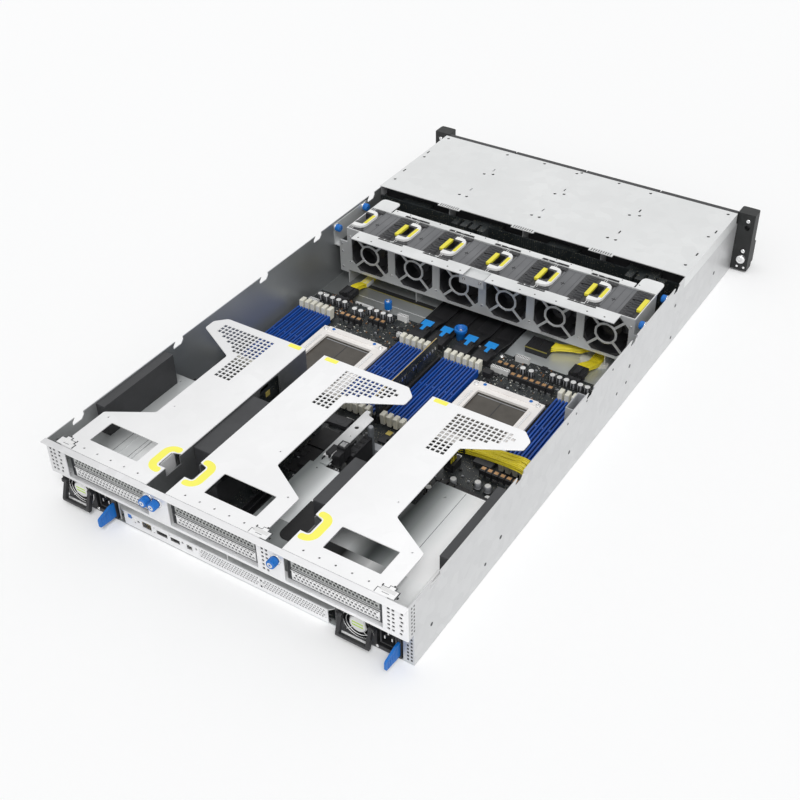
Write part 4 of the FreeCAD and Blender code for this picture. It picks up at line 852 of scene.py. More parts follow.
def port_details():
    """Metal shells, tongues and contacts of the rear ports."""
    made = Build()
    tongues = ((4, 5, 8.6, 10.0, black), (5.2, 2.2, 9.2, 12.0, black), (5.2, 2.2, 9.2, 12.0, black),
               (2.6, 2.2, 10.2, 12.2, white))
    for (x, z, w, h), (reach, front, z0, z1, finish) in zip(ports, tongues):
        left, right, top, low = x - w / 2, x + w / 2, z + h / 2, max(z - h / 2, 7.6)
        made.box(left, left + 0.5, 0.2, 9.6, low, top, silver)
        made.box(right - 0.5, right, 0.2, 9.6, low, top, silver)
        made.box(left, right, 0.2, 9.6, top - 0.5, top, silver)
        made.box(left, right, 0.2, 9.6, low, low + 0.5, silver)
        made.box(x - reach, x + reach, front, 9.6, z0, z1, finish)
    for i in range(8):
        x = -107.3 + i
        made.box(x, x + 0.5, 3, 9.6, 10.0, 10.3, gold)
    made.box(-128.5, -124, -0.3, 0.1, 12.5, 17.5, blue)
    for x in (-122.5, -119):
        made.box(x, x + 2, -0.25, 0.05, 12, 16, white)
    made.make("port_shells", "server", 0.08)


port_details()


# Bay covers, middle shelf and its bracket bar

def bay_covers():
    made = Build()
    left_holes = [circle(x, y, 1.3, 10) for x, y in ((-205, 176), (-180, 150), (-155, 176), (-180, 30))]
    made.plate(rect(-inside, -141.7, 2, 185), left_holes, "z", shelf_level, sheet, bay_cover_steel)
    plan = [(1, 2), (inside, 2), (inside, 185), (130.8, 185), (130.8, 143), (20, 143), (20, 148),
            (22.5, 148), (22.5, 150.5), (20, 150.5), (20, 234.5, 1.5), (12.4, 236.6, 1),
            (10.6, 238.5), (10.6, 243, 1), (5, 243, 1), (5, 143), (1, 143)]
    marks = ((12.4, 212.7, 2.6, 18), (14.5, 197.7, 1.1, 10), (13.5, 137.3, 1.2, 10), (190, 170, 1.4, 10),
             (150, 168, 1.4, 10), (60, 130, 1.2, 10), (100, 130, 1.2, 10))
    made.plate(rounded(plan, 4), [circle(*mark) for mark in marks], "z", shelf_level, sheet, bay_cover_steel)
    for x in (-142.3, 131.4, 207.5):
        made.plate(rect(2, 185, sheet, deck), [], "x", x, sheet, cover_steel)
    made.plate(rect(2, 52, 19.2, deck), [], "x", 1.6, sheet, cover_steel)
    for x, y0, y1 in ((165.6, 40, 184), (-166, 6, 184), (-187, 6, 184), (-152, 6, 184)):
        made.box(x, x + 0.5, y0, y1, 43.15, 43.24, dark_steel)
    for x0, x1 in ((-164, -160), (-184, -178), (196, 200)):
        ridge = ((x0, 43.15), (x1, 43.15), (x1 - 0.8, 43.9), (x0 + 0.8, 43.9))
        made.loft([[(x, y, z) for x, z in ridge] for y in (8, 182)], bay_cover_steel)
    # A thin black sheet lies on the shelf over an area that shows black.
    film = [(38.5, 34.5, 9), (84, 34.5, 1), (84, 93, 1), (38.5, 93, 1)]
    made.plate(rounded(film, 6), [], "z", 43.4, 0.3, soft_black, 0.1)
    obj = made.make("bay_cover_sheet_metal", "server")
    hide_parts("psu_bay_covers")


bay_covers()


def bar_fittings():
    """Clips, catch block and stand-offs beside the bracket bar, on the board below it."""
    made = Build()
    made.plate(rect(12.5, 21.5, 144.5, 153.5), [], "z", 44.4, sheet, bay_cover_steel)
    wedge = ((150, shelf_top), (158, shelf_top), (157, 45.4), (151, 45.4))
    made.loft([[(x, y, z) for y, z in wedge] for x in (10.4, 12.2)], soft_black)
    made.box(9.2, 15, 155, 160.5, shelf_top, 46.2, bright)
    made.box(12, 28.5, 156, 171, 36, 50, black)
    made.box(18.6, 29, 167, 178, 38, 53.2, black)
    made.loft([[(x, y, z) for x, y in rect(20.4 + cut, 27.2 - cut, 168.6 + cut, 176.2 - cut)]
               for cut, z in ((0, 53.1), (0.4, 54.0))], silver)
    made.wire([(20.5, 150, 44), (21, 155, 50.5), (21.5, 163, 51)], 0.35, silver)
    post = [(0, 2.6), (23, 2.6), (24, 3.4), (26.5, 3.4), (27.1, 2.8), (27.1, 1.6), (26.2, 1.4)]
    made.turned(26, 153, board_top, "z", post, grey, 24)
    made.turned(26, 153, board_top + 26.6, "z", [(0, 3.0), (0.7, 2.8), (0.7, 1.8), (0.2, 1.6)], silver, 24)
    made.box(22, 31, 178, 214, board_top, 36, black)
    for y in (183, 192, 201, 209):
        made.box(23.5, 29.5, y, y + 3.4, 35.8, 36.5, soft_black)
    can = [(0, 4.0), (1.2, 4.0), (1.6, 3.6), (37, 3.6), (38.6, 3.0), (39.4, 2.0)]
    made.turned(26.5, 219, board_top, "z", can, smoke_grey, 28)
    made.turned(26.5, 219, 45.6, "z", [(0, 2.8), (0.8, 2.4), (1.0, 1.2)], grey, 20)
    made.box(22, 38, 222, 232, board_top, 12, grey)
    made.box(21.2, 27.8, 253.4, 260.6, board_top, 9.2, brass)
    made.box(20.6, 28.4, 252.8, 261.2, board_top, 8.2, grey)
    made.turned(33, 246, board_top, "z", [(0, 5.2), (1.0, 5.2), (1.4, 4.6), (2.2, 4.6)], grey, 28)
    base = ((-47, 251), (-21, 253), (-21, 238), (-44, 236))
    made.loft([[(x, y, z) for x, y in base] for z in (board_top, 11.6)], rib_grey)
    made.turned(-32, 245, 11.5, "z", [(0, 6.2), (0.12, 6.1), (0.12, 5.7), (0.02, 5.6)], black, 32)
    for i in range(6):
        made.box(-33 + 1.7 * i, -32.1 + 1.7 * i, 256.6, 258, board_top, board_top + 0.5, white)
    made.make("bracket_bar_fittings", "server", 0.2)


bar_fittings()


# Drive bay cover with its holes, slots and rear tabs

cover_holes = [(-214, 780), (-117, 779), (-60, 782), (-9, 779), (-4, 784), (52, 783), (99.5, 779), (207, 779),
               (-214, 714), (-117, 713), (-106, 718), (-9, 713), (2, 718), (99, 712), (111, 717), (206, 713),
               (-117, 646), (-106, 646), (-9, 647), (2, 647), (99, 646), (110, 646), (-214, 638), (207, 636)]


def bay_cover():
    made = Build()
    plan = [(-half, 612), (-125, 612), (-125, 607), (-93, 607), (-93, 612), (-16, 612), (-16, 607), (16, 607),
            (16, 612), (93, 612), (93, 607), (125, 607), (125, 612), (half, 612), (half, 787), (-half, 787)]
    holes = [circle(x + 2, y, 2.2, 14) for x, y in cover_holes]
    for x in (-214.5, -108.4, 0.0, 108.4, 212.0):
        for y in (662, 725):
            holes.append(rect(x - 1.1, x + 1.1, y, y + 8))
    made.plate(plan, holes, "z", 86.1, sheet, cover_steel)
    # Black sheet under the cover: painted shade seen through its holes.
    made.box(-217, 217, 616, 786, 84.2, 84.5, soft_black)
    for x in (-218.4, 218.4):
        made.box(x - 0.6, x + 0.6, 612, 787, 69, 85.5, cover_steel)
    for x in (-109, 0, 109):
        for i in range(9):
            made.box(x - 13.5 + 3.2 * i, x - 12.2 + 3.2 * i, 607.6, 613.5, 86.65, 86.7, dark_steel)
    obj = made.make("drive_bay_cover_sheet_metal", "server")
    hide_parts("drive_bay_cover")


bay_cover()


# Screws on the rear panel, the fan cage, the tray and the ears

def screws():
    made = Build()
    rim = [(0, 3.2), (-1.6, 3.2), (-1.6, 4.9), (-2.2, 5.0), (-8.6, 5.0), (-9.5, 4.3), (-9.5, 3.0)]
    centre = [(0, 3.1), (-0.35, 2.9), (-0.35, 1.2), (0.5, 0.9)]
    for x in rear_screws:
        made.turned(x, -10, rear_screw_height, "y", rim, blue, 36, 0.3)
        made.turned(x, -19.2, rear_screw_height, "y", centre, silver, 18)
    for side in (-1, 1):
        for y in (503.5, 567.3):
            for x, parts, finish, sides, ridges in (
                    (216.5, ((0, 5.4), (-1.2, 5.4), (-1.2, 4.0)), silver, 28, 0.0),
                    (215.4, ((0, 4.5), (-0.5, 4.8), (-5.6, 4.8), (-6.6, 4.0), (-6.6, 2.4)), blue, 36, 0.3),
                    (209.0, ((0, 2.5), (-0.3, 2.3), (0.4, 1.2)), silver, 18, 0.0)):
                profile = [(side * along, radius) for along, radius in parts]
                made.turned(side * x, y, 77.0, "x", profile, finish, sides, ridges)
    knob = [(0, 4.2), (2, 5.4), (10.6, 5.6), (13.4, 7.9), (16.6, 8.2), (18.2, 7.9), (18.4, 6.6), (17.4, 5.4),
            (12.2, 4.6), (12.0, 0.4)]
    made.turned(0.3, 455.5, board_top, "z", knob, blue, 36)
    made.turned(0.3, 455.5, board_top + 11.9, "z", [(0, 2.6), (2.4, 2.5), (2.8, 1.6), (2.0, 1.2)], silver, 20)
    head = [(0, 2.6), (0, 4.6), (0.6, 5.0), (10.8, 5.0), (11.6, 4.5), (11.6, 2.8)]
    made.turned(-109, 460.2, sheet, "z", [(0, 3.0), (12.0, 3.0)], silver, 24)
    made.turned(-109, 460.2, sheet + 11.2, "z", head, blue, 32, 0.25)
    made.turned(-109, 460.2, sheet + 22.2, "z", [(0, 3.0), (0.9, 2.8), (0.9, 1.4), (0.2, 1.0)], silver, 20)
    thumb = [(0, 5.2), (-1.2, 5.2), (-1.2, 5.9), (-6.0, 5.9), (-7.0, 5.0), (-7.0, 2.4), (-6.2, 2.0),
             (-6.1, 0.4)]
    flat_head = [(0, 2.8), (-0.6, 2.8), (-1.1, 2.0), (-1.1, 1.1), (-0.6, 0.9)]
    for x in (-232.55, 232.55):
        made.turned(x, ear_back, 21.4, "y", thumb, silver, 36, 0.25)
        for z in (31.5, 76.0):
            made.turned(x, ear_back, z, "y", flat_head, silver, 18)
        for dx in (-4.5, 4.5):
            made.turned(x + dx, ear_back, 7.5, "y", [(0, 1.8), (-0.5, 1.8), (-0.8, 1.2)], silver, 14)
    obj = made.make("captive_screw_heads", "server")
    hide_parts("captive_screws")


screws()


# Fan cage: round finger-guard rings, screws, and the dark clips in the flange notches

def cage_details():
    made = Build()
    for i in range(6):
        x = fan_start + fan_pitch * (i + 0.5)
        outer = circle(x, fan_centre, guard_ring + 0.1, 48)
        inner = circle(x, fan_centre, guard_ring * 0.955 - guard_bar * 0.6, 48)
        made.plate(outer, [inner], "y", cage_rear + 0.6, 1.5, cage_finish, 0.2)
    for i in range(7):
        x = fan_start + fan_pitch * i + (3.5 if i == 0 else -3.5 if i == 6 else 0)
        for z in (34, 72):
            made.turned(x, cage_rear, z, "y", [(0, 1.7), (-0.5, 1.6), (-0.7, 0.9), (-0.4, 0.5)], silver, 14)
    for i in range(1, 6):
        x = fan_start + fan_pitch * i
        for low, high in ((497.0, 501.4), (560.8, 564.4)):
            # The centre catch stands here
            if abs(x - 4) < 5 and low < 500:
                continue
            for a, b in ((-17.6, -1), (3, 19)):
                made.box(x + a, x + b, low, low + 1.5, 83.0, 84.5, black)
                made.box(x + a + 0.8, x + b - 0.8, high - 1.6, high, 83.0, 84.9, black)
            if low < 500:
                made.box(x - 18, x + 18, 491.4, 496.8, 83.0, 84.25, cage_finish)
            made.turned(x - 9, (low + high) / 2, 83.9, "z", [(0, 1.0), (1.0, 1.0), (1.1, 0.6)], silver, 12)
    for x in (-170, -150, -105, -60, -38, -20, 25, 62, 82, 110, 150, 172):
        made.turned(x, 486.5, 84.32, "z", [(0, 1.2), (0.12, 1.1)], soft_black, 12)
        made.turned(x + 7, 568.6, 84.32, "z", [(0, 1.1), (0.12, 1.0)], soft_black, 12)
    for x in (-14, 8):
        made.turned(x, 485.2, 75.5, "y", [(0, 2.3), (-0.3, 2.2), (-0.3, 1.2), (0.2, 1.0)], silver, 18)
    made.box(-18.5, 11.5, 484.5, 485.3, 79.5, 81.0, cage_finish)
    for x in (-204.8, 208.9):
        for z in (24, 47, 58):
            made.turned(x, cage_rear, z, "y", [(0, 1.5), (-0.4, 1.4), (-0.5, 0.7)], silver, 14)
    made.make("fan_cage_details", "server", 0.15)


cage_details()


# Fan modules: extra ribs, moulded steps and a connector beside the loop

def fan_details(index):
    made = Build()
    start = fan_start + fan_pitch * index
    for i in range(9):
        y = 507.0 + i * 5.3
        for a, b, rise in ((45.5, 50.5, 1.2), (51.0, 60.6, 2.4)):
            rib = ((y, fan_top), (y + 2.2, fan_top), (y + 2.0, 82.5 + rise), (y + 1.1, 82.5 + rise))
            made.loft([[(start + x, *spot) for spot in rib] for x in (a, b)], rib_grey)
    for x in (20.2, 30, 39.6):
        made.box(start + x, start + x + 0.35, 504, 557, 82.4, 82.75, rib_grey)
    made.box(start + 25, start + 30, 527.2, 528.4, 82.5, 82.9, black)
    made.box(start + 27, start + 28, 524, 531, 82.5, 82.8, black)
    for low, high in ((501.1, 507.6), (553.0, 559.6)):
        made.box(start + 0.5, start + 19.4, low, high, fan_top, 83.6, black)
        made.box(start + 46.5, start + 60, low, high, fan_top, 83.1, black)
        for x in (2.2, 4.8):
            made.box(start + x, start + x + 0.8, low - 0.4, high + 0.2, 83.5, 84.3, silver)
        for x in (8.5, 12.5, 16.0):
            y = (low + high) / 2
            made.turned(start + x, y, 83.5, "z", [(0, 1.5), (0.5, 1.5), (0.8, 0.6)], rib_grey, 10)
        made.box(start + 51.5, start + 58, low + 2, low + 3, 83.0, 83.8, rib_grey)
    knob = [(0, 4.0), (3.0, 4.0), (3.2, 2.6), (5.0, 2.6), (5.1, 0.6)]
    made.turned(start + 4.5, 530.4, 73.6, "z", knob, rib_grey, 20)
    made.make("fan_top_details_%d" % (index + 1), "fan_%d" % (index + 1), 0.15)


for fan_number in range(6):
    fan_details(fan_number)


# Power supplies: wire guard over the fan, screws, inlet pins and a plain hub disc

def psu_details(name, x0):
    made = Build()
    x = x0 + 26
    z = 21.5
    for radius in (5.5, 9.5, 13.5, 17.0):
        wire = ((radius - 0.45, -1.0), (radius, -1.45), (radius + 0.45, -1.0), (radius, -0.55))
        rings = []
        for k in range(40):
            a = 2 * math.pi * k / 40
            rings.append([(x + r * math.cos(a), y, z + r * math.sin(a)) for r, y in wire])
        made.skin(rings, silver, closed=True)
    for k in range(4):
        a = math.radians(45 + 90 * k)
        c, s = math.cos(a), math.sin(a)
        made.loft([[(x + r * c - s * p, y, z + r * s + c * p) for p, y in rect(-0.45, 0.45, -1.7, -0.8)]
                   for r in (4.6, 18.6)], silver)
    made.turned(x, -0.9, z, "y", [(0, 9.0), (-0.9, 9.0), (-1.1, 8.4)], white, 36)
    for low in (-2.6, 1.2):
        made.box(x - 6.2, x + 6.2, -2.1, -1.9, z + low, z + low + 1.6, lime)
    for row in range(7):
        for column in range(9):
            px, pz = x0 + 5 + column * 4.6, 3.6 + row * 5.9
            if (px - x) ** 2 + (pz - z) ** 2 > 390:
                made.box(px - 1, px + 1, -1.15, -0.95, pz - 1, pz + 1, rib_grey)
    screw = [(0, 1.8), (-0.5, 1.8), (-0.8, 1.2), (-0.8, 0.8), (-0.4, 0.6)]
    for sx, sz in ((4, 5.5), (4, 37.5), (47, 37.8), (47, 4.8)):
        made.turned(x0 + sx, -1.0, sz, "y", screw, silver, 14)
    inlet = x0 + 58
    for px, pz in ((inlet - 4, 18.5), (inlet + 4, 18.5), (inlet, 25.5)):
        made.box(px - 0.7, px + 0.7, 1.2, 8, pz - 2, pz + 2, silver)
    made.turned(x0 + 64.5, -1.0, 37.6, "y", [(0, 1.3), (-0.3, 1.3), (-0.5, 0.8)], white, 14)
    made.make("psu_face_details_" + name, "psu_" + name)


def latch_ridges(name, x0):
    """Grip ridges on both faces of a release latch."""
    made = Build()
    x = x0 + 70.6
    for side in (-1, 1):
        for i in range(4):
            y = -20.5 + i * 3.6
            low, high = sorted((x + side * 1.25, x + side * 1.65))
            made.box(low, high, y, y + 1.2, 8.5, 18.0, blue)
    made.make("latch_ridges_" + name, "psu_latch_" + name, 0.1)


for supply in power_supplies:
    psu_details(*supply)
    latch_ridges(*supply)


# Board: chokes, capacitors, small parts, connectors and sockets' metal work

def memory_details():
    """Dark slots and a blue key along each memory socket, and the edge and parts of the centre card."""
    made = Build()
    for x in [bank + (i - 2.5) * memory_pitch for bank in memory_banks for i in range(6)]:
        made.box(x - 0.7, x + 0.7, 276, 400, 10.9, 11.6, black)
        for side in (-1, 1):
            made.box(x + side * 1.15 - 0.25, x + side * 1.15 + 0.25, 278, 398, 16.75, 16.95, soft_black)
        made.box(x - 0.8, x + 0.8, 344, 347, 11, 16.8, memory_blue)
    made.box(-0.35, 0.35, 269, 399, board_top + 36.9, board_top + 37.15, gold)
    for y in range(272, 398, 6):
        made.box(-1.3, -0.8, y, y + 3.2, board_top + 30, board_top + 34, rib_grey)
        made.box(0.8, 1.6, y, y + 2.4, board_top + 24, board_top + 28, silver)
    made.make("memory_contacts", "server")


memory_details()


# Rows of parts: the first one's place across and along, how many, and their pitch
chokes = ((-150.0, 417.0, 4, 8.2), (-113.0, 428.0, 3, 8.2), (93.5, 417.0, 7, 8.2), (69.0, 430.0, 3, 8.2),
          (147.0, 253.5, 6, 7.7))
cans = ((-200.0, 440.0, 5, 9.5), (-143.0, 434.0, 2, 9.5), (-126.0, 444.0, 4, 10.0), (98.0, 434.0, 2, 11.0),
        (134.0, 440.0, 6, 9.0), (112.0, 198.0, 3, 11.0), (127.6, 223.0, 1, 9.0), (152.3, 232.0, 2, 12.0),
        (173.0, 216.0, 1, 9.0))
# Places that larger parts fill, from and to across and along
taken = [(-60, 56, 432, 452), (118, 170, 208, 220), (105, 118, 235, 266), (126, 156, 258, 276)]
taken += [(x - 6, x + pitch * (count - 1) + 6, y - 6, y + 6) for x, y, count, pitch in chokes + cans]
taken += [(x - 47, x + 47, 270, 386) for x in processors]
taken += [(x - 26, x + 26, 254, 414) for x in memory_banks]
taken += [(-3, 4, 260, 410), (-36, 8, 64, 112), (-91, -84, 146, 234), (-60, -50, 146, 234),
          (82, 90, 146, 234), (-210, -160, 188, 215), (140, 195, 188, 215), (-84, -58, 60, 162),
          (-150, -30, 0, 20)]


def is_free(x, y):
    return not any(x0 < x < x1 and y0 < y < y1 for x0, x1, y0, y1 in taken)


def board_part(made, x, y, w, d, h, finish):
    """Box on the board's top face."""
    made.box(x, x + w, y, y + d, board_top, board_top + h, finish)


def power_stages(made):
    """Chokes with copper tops, and capacitor cans."""
    for x, y, count, pitch in chokes:
        for i in range(count):
            middle = x + i * pitch
            board_part(made, middle - 3.4, y - 3.6, 6.8, 7.2, 8.7, black)
            made.box(middle - 2.5, middle + 2.2, y - 1.2, y + 3.2, board_top + 8.6, board_top + 8.9, copper)
            made.box(middle - 2.4, middle + 2.4, y - 3.75, y - 3.5, board_top + 0.3, board_top + 3.0, silver)
    can = [(0, 3.7), (0.6, 3.75), (1.2, 3.4), (1.8, 3.75), (7.4, 3.75), (8.1, 3.2)]
    for x, y, count, pitch in cans:
        for i in range(count):
            middle = x + i * pitch
            board_part(made, middle - 4.0, y - 4.0, 8.0, 8.0, 1.2, black)
            made.turned(middle, y, board_top + 1.0, "z", can, grey, 16)
            made.turned(middle, y, board_top + 9.0, "z", [(0, 3.3), (0.3, 3.3), (0.45, 2.8)], white, 16)


def scatter_parts(made, rng):
    """Small parts all over the board, where nothing larger stands."""
    kinds = ((1.0, 0.5, 0.5, silver), (1.6, 0.8, 0.6, orange), (2.0, 1.2, 1.6, rib_grey),
             (1.6, 0.8, 1.5, black), (3.0, 2.4, 2.1, black), (5.0, 5.0, 1.4, black), (0.5, 1.0, 0.7, silver),
             (1.2, 2.0, 1.8, black), (2.6, 1.4, 1.6, grey), (4.0, 1.6, 3.0, rib_grey), (7.0, 7.0, 1.6, black))
    placed = 0
    while placed < 900:
        y = rng.uniform(6, 456)
        x = rng.uniform(*((-138, 127) if y < 190 else (-208, 208)))
        if is_free(x, y):
            board_part(made, x, y, *rng.choice(kinds))
            placed += 1


def fine_parts(rng):
    """Denser, smaller parts and printed marks in front of the memory banks."""
    made = Build()
    zones = ((-152, -44, 392, 456), (42, 152, 392, 456), (42, 206, 416, 456), (-206, -156, 418, 456))
    kinds = ((1.4, 0.8, 0.6, silver), (0.8, 1.4, 0.6, silver), (2.0, 1.2, 1.0, rib_grey),
             (1.2, 2.2, 1.1, rib_grey), (3.0, 0.35, 0.06, white), (0.35, 3.0, 0.06, white),
             (1.3, 1.3, 1.4, orange), (1.6, 1.0, 0.7, cream))
    for _ in range(900):
        x0, x1, y0, y1 = rng.choice(zones)
        x, y = rng.uniform(x0, x1), rng.uniform(y0, y1)
        kind = rng.choice(kinds)
        if is_free(x, y):
            board_part(made, x, y, *kind)
    made.make("board_fine_parts", "server")


def larger_parts(made):
    """Connectors, whose white ones have dark slots, larger chips and studs."""
    for x, y, w, d, h, finish in (
            (-70, 418, 26, 5, 7, white), (62, 420, 24, 5, 7, white), (-208, 424, 14, 5, 8, white),
            (-62, 408, 8, 12, 9, black), (60, 404, 10, 9, 8, black), (-90, 452, 14, 5, 8, white),
            (78, 452, 18, 5, 8, white), (-20, 246, 12, 12, 1.6, black), (20, 240, 18, 18, 2.2, black),
            (-70, 236, 16, 5, 7, white), (40, 150, 30, 30, 2.0, black), (-120, 60, 22, 22, 1.8, black),
            (-30, 160, 34, 8, 5, black), (70, 60, 18, 30, 1.6, black), (-125, 130, 12, 40, 6, black),
            (196, 420, 12, 5, 8, white), (150, 420, 6, 4, 3, silver), (129, 262, 22, 11, 5.2, rib_grey),
            (109.5, 238, 5, 25, 5.0, black), (-156, 455, 27, 2.6, 2.4, white),
            (-44, 196, 44, 32, 1.8, soft_black), (-40, 150, 38, 44, 1.2, soft_black)):
        top = board_top + h
        board_part(made, x, y, w, d, h, finish)
        if finish is white:
            for k in range(int(w / 2)):
                made.box(x + 0.6 + 2 * k, x + 1.4 + 2 * k, y + 1, y + d - 1, top, top + 0.05, soft_black)
    stud = [(0, 3.2), (1.0, 3.2), (1.6, 2.4), (1.6, 1.2), (0.9, 1.0)]
    for x in (-203, -60, 60, 203):
        for y in (205, 255, 452):
            made.turned(x, y, board_top, "z", stud, silver, 18)
    for x0, x1, y0, y1 in ((109.1, 109.7, 238, 263), (114.3, 114.9, 238, 263), (109.1, 114.9, 237.6, 238.2),
                           (109.1, 114.9, 262.8, 263.4)):
        made.box(x0, x1, y0, y1, board_top + 4.8, board_top + 5.3, silver)


def board_details():
    made = Build()
    rng = random.Random(3)
    power_stages(made)
    scatter_parts(made, rng)
    fine_parts(rng)
    larger_parts(made)
    made.make("board_small_parts", "server", 0.1)


board_details()


def socket_details():
    """Screws, dots and bars on the processor socket frames."""
    made = Build()
    screw = [(0, 3.0), (1.1, 3.0), (1.6, 2.2), (1.6, 1.2), (0.8, 1.0)]
    for x in processors:
        for side in (-1, 1):
            for y in (279, 378):
                made.turned(x + side * 40, y, 16.3, "z", screw, silver, 20)
            made.turned(x + side * 30, 380.5, 17.5, "z", [(0, 2.2), (0.7, 2.0), (0.75, 0.5)], blue, 18)
            made.box(x + side * 38 - 1.2, x + side * 38 + 1.2, 292, 364, 16.3, 17.2, silver)
        made.box(x - 0.5, x + 0.5, 291, 366, 12.3, 12.6, baffle_black)
        for y in (290, 365.6):
            made.box(x - 31, x + 31, y, y + 1, 12.3, 12.7, grey)
    made.make("processor_socket_fittings", "server", 0.15)


socket_details()


# Cables

def bundle(made, path, wires, radius, finish, rng, spread=0.25):
    """Wires side by side: path(u, v) gives the line of the wire at place u across and v up."""
    for u, v in wires:
        line = [[c + rng.uniform(-spread, spread) for c in spot] for spot in path(u, v)]
        made.wire(line, radius, finish)


def arched_bundle(made, rng):
    """Bundle that rises beside the right wall, with its sleeve and strap."""
    def path(u, v):
        left, right = 239.5 + 10.5 * u, 243.5 + 16.5 * u
        rise = 5.0 * v - 2.5
        return [(112 + rise, left, 18), (112 + rise, left, 31), (117, left, 39.5 + rise),
                (127, left, 43.5 + rise), (150, left * 0.6 + right * 0.4, 44.5 + rise),
                (178, left * 0.2 + right * 0.8, 44 + rise), (196, right, 42.5 + rise),
                (205 + rise * 0.6, right, 34), (207 + rise * 0.4, 250, 18)]

    bundle(made, path, [(i / 8, v) for v in (0.0, 0.5, 1.0) for i in range(9)], 0.85, yellow_wire, rng, 0.35)
    sleeve = []
    for x, z, dx, dz in ((109, 17, 6, 0), (109, 31, 6, 0), (112, 39, 5, -3), (119, 45.8, 2.4, -5.4),
                         (132, 47.4, 0.4, -6.2)):
        sleeve.append([(x, 238.6, z), (x + dx, 238.6, z + dz), (x + dx, 251.5, z + dz), (x, 251.5, z)])
    made.loft(sleeve, soft_black)
    strap = []
    for x in (138, 139.2):
        y0, y1 = 239.5 + 4 * (x - 112) / 95, 250.2 + 10 * (x - 112) / 95
        strap.append([(x, y0, 41.2), (x, y1, 41.2), (x, y1, 47.8), (x, y0, 47.8)])
    made.loft(strap, soft_black)


def tray_lead(made, rng, plug, middle, width):
    """Lead from its plug on the board, below the fan cage, to the backplane."""
    made.box(plug - 9, plug + 9, 457, 476, board_top, 14.0, soft_black)
    made.box(plug - 3.5, plug + 3.5, 458, 472, 14.0, 15.6, black)
    made.box(plug - 2, plug + 2, 455.5, 459, 12.0, 17.0, black)
    for i in range(7):
        made.box(plug - 8.2 + 2.5 * i, plug - 7.4 + 2.5 * i, 453.4, 457, board_top, 10.5, silver)
        made.box(plug - 8.4 + 2.5 * i, plug - 7.2 + 2.5 * i, 456.9, 457.1, 8.4, 12.4, soft_black)

    def path(u, v):
        x = middle + (u - 0.5) * (width - 2)
        near = plug + (u - 0.5) * (14 if plug > 0 else 8)
        z = 4.6 * v - 2.3
        return [(near, 475, 10.6 + z * 0.8), (near * 0.7 + x * 0.3, 480, 10.8 + z), (x, 492, 7.6 + z),
                (x, 502, 4.4 + z), (x, 530, 4.2 + z), (x, 556, 4.2 + z), (x, 570, 7 + z), (x, 582, 10.6 + z),
                (x, 607.6, 10.8 + z)]

    count = int(width / 2)
    wires = [(i / (count - 1), v) for v in (0.1, 0.55, 1.0) for i in range(count)]
    bundle(made, path, wires, 0.95, yellow_wire, rng, 0.15)


def tray_marks(made):
    """White guards, the box where two leads join, and dark sheets on the floor of the tray."""
    x0, x1 = -178.7, -168.3
    made.loft([[(x0, y, z), (x1, y, z), (x1, y, z + 5.4), (x0, y, z + 5.4)]
               for y, z in ((500, 2.4), (503, 1.6), (516, 1.6))], white)
    guard = [(139, 503, 1), (139, 512.5, 2), (174, 512.5, 2), (175.5, 501.5, 2), (164, 495, 2),
             (147, 493.5, 2)]
    made.plate(rounded(guard, 3), [circle(151, 503, 2.2, 12)], "z", 2.1, 1.2, clear_white)
    made.box(75.3, 104.7, 482.3, 505.7, 1.3, 10.6, soft_black)
    # Dark sheets on the floor of the tray, between and beside the cables.
    made.box(-66, 56, 456.8, 600, 1.25, 1.5, soft_black)
    made.box(-168, -66.5, 500.5, 508, 1.25, 1.5, soft_black)
    made.box(-168, -66.5, 480.2, 480.8, 1.25, 1.4, bright)
    made.wire([(-170, 499.2, 2.3), (-120, 498.8, 2.3), (-67, 499.2, 2.3)], 0.3, lead_trim)
    for i in range(7):
        x = 77.5 + 2.6 * i
        ridge = ((x, 10.5), (x + 1.2, 10.5), (x + 1.0, 11.15), (x + 0.2, 11.15))
        made.loft([[(a, y, z) for a, z in ridge] for y in (483.5, 504.5)], black)
    for y in (482.0, 505.4):
        made.box(75, 105, y, y + 0.4, 8.6, 10.0, lead_trim)


def crossing_lead(made, rng):
    """Lead from the joining box across the tray and on to the backplane."""
    def path(u, v):
        low, high = 494.5 + 12 * u, 508.5 + 4.5 * u
        z = 9.5 + 4.4 * (v - 0.5)
        return [(104.5, low, 4.5 + 5.5 * v), (113, low * 0.7 + 506 * 0.3, 8.6 + 3 * (v - 0.5)),
                (128, 504.6 + 7 * u, z), (139, high, z), (144.5 + 1.5 * u, 522 - 4 * u, z),
                (144 + 4 * u, 545, z), (144 + 4 * u, 607, z)]

    wires = [(i / 5, v) for v in (0.0, 0.5, 1.0) for i in range(6)]
    bundle(made, path, wires, 0.9, yellow_wire, rng, 0.2)


def leads():
    """Power leads as bundles of single wires with their plugs and sleeves."""
    made = Build()
    rng = random.Random(11)
    arched_bundle(made, rng)
    tray_lead(made, rng, -174.0, -173.5, 10.0)
    tray_lead(made, rng, 155.0, 160.0, 14.0)
    tray_marks(made)
    crossing_lead(made, rng)
    obj = made.make("wire_leads", "server")
    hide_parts("power_leads")


leads()


# Side walls: dimples and small holes on the outside

def wall_marks():
    made = Build()
    marks = ((30, 28, 2.2), (130, 18, 2.0), (160, 30, 2.4), (310, 30, 2.4), (430, 29, 2.0), (455, 29, 2.0),
             (460, 49, 2.4), (410, 76, 1.4), (345, 76, 1.4), (320, 76, 1.4), (300, 76, 1.4), (590, 57, 2.2),
             (590, 10, 2.2), (725, 30, 2.6))
    for side in (-1, 1):
        for y, z, r in marks:
            dimple = [(0, r), (side * 0.25, r * 0.9), (side * 0.3, r * 0.3)]
            made.turned(side * half, y, z, "x", dimple, dark_steel, 18)
    made.make("wall_rivets", "server")


wall_marks()

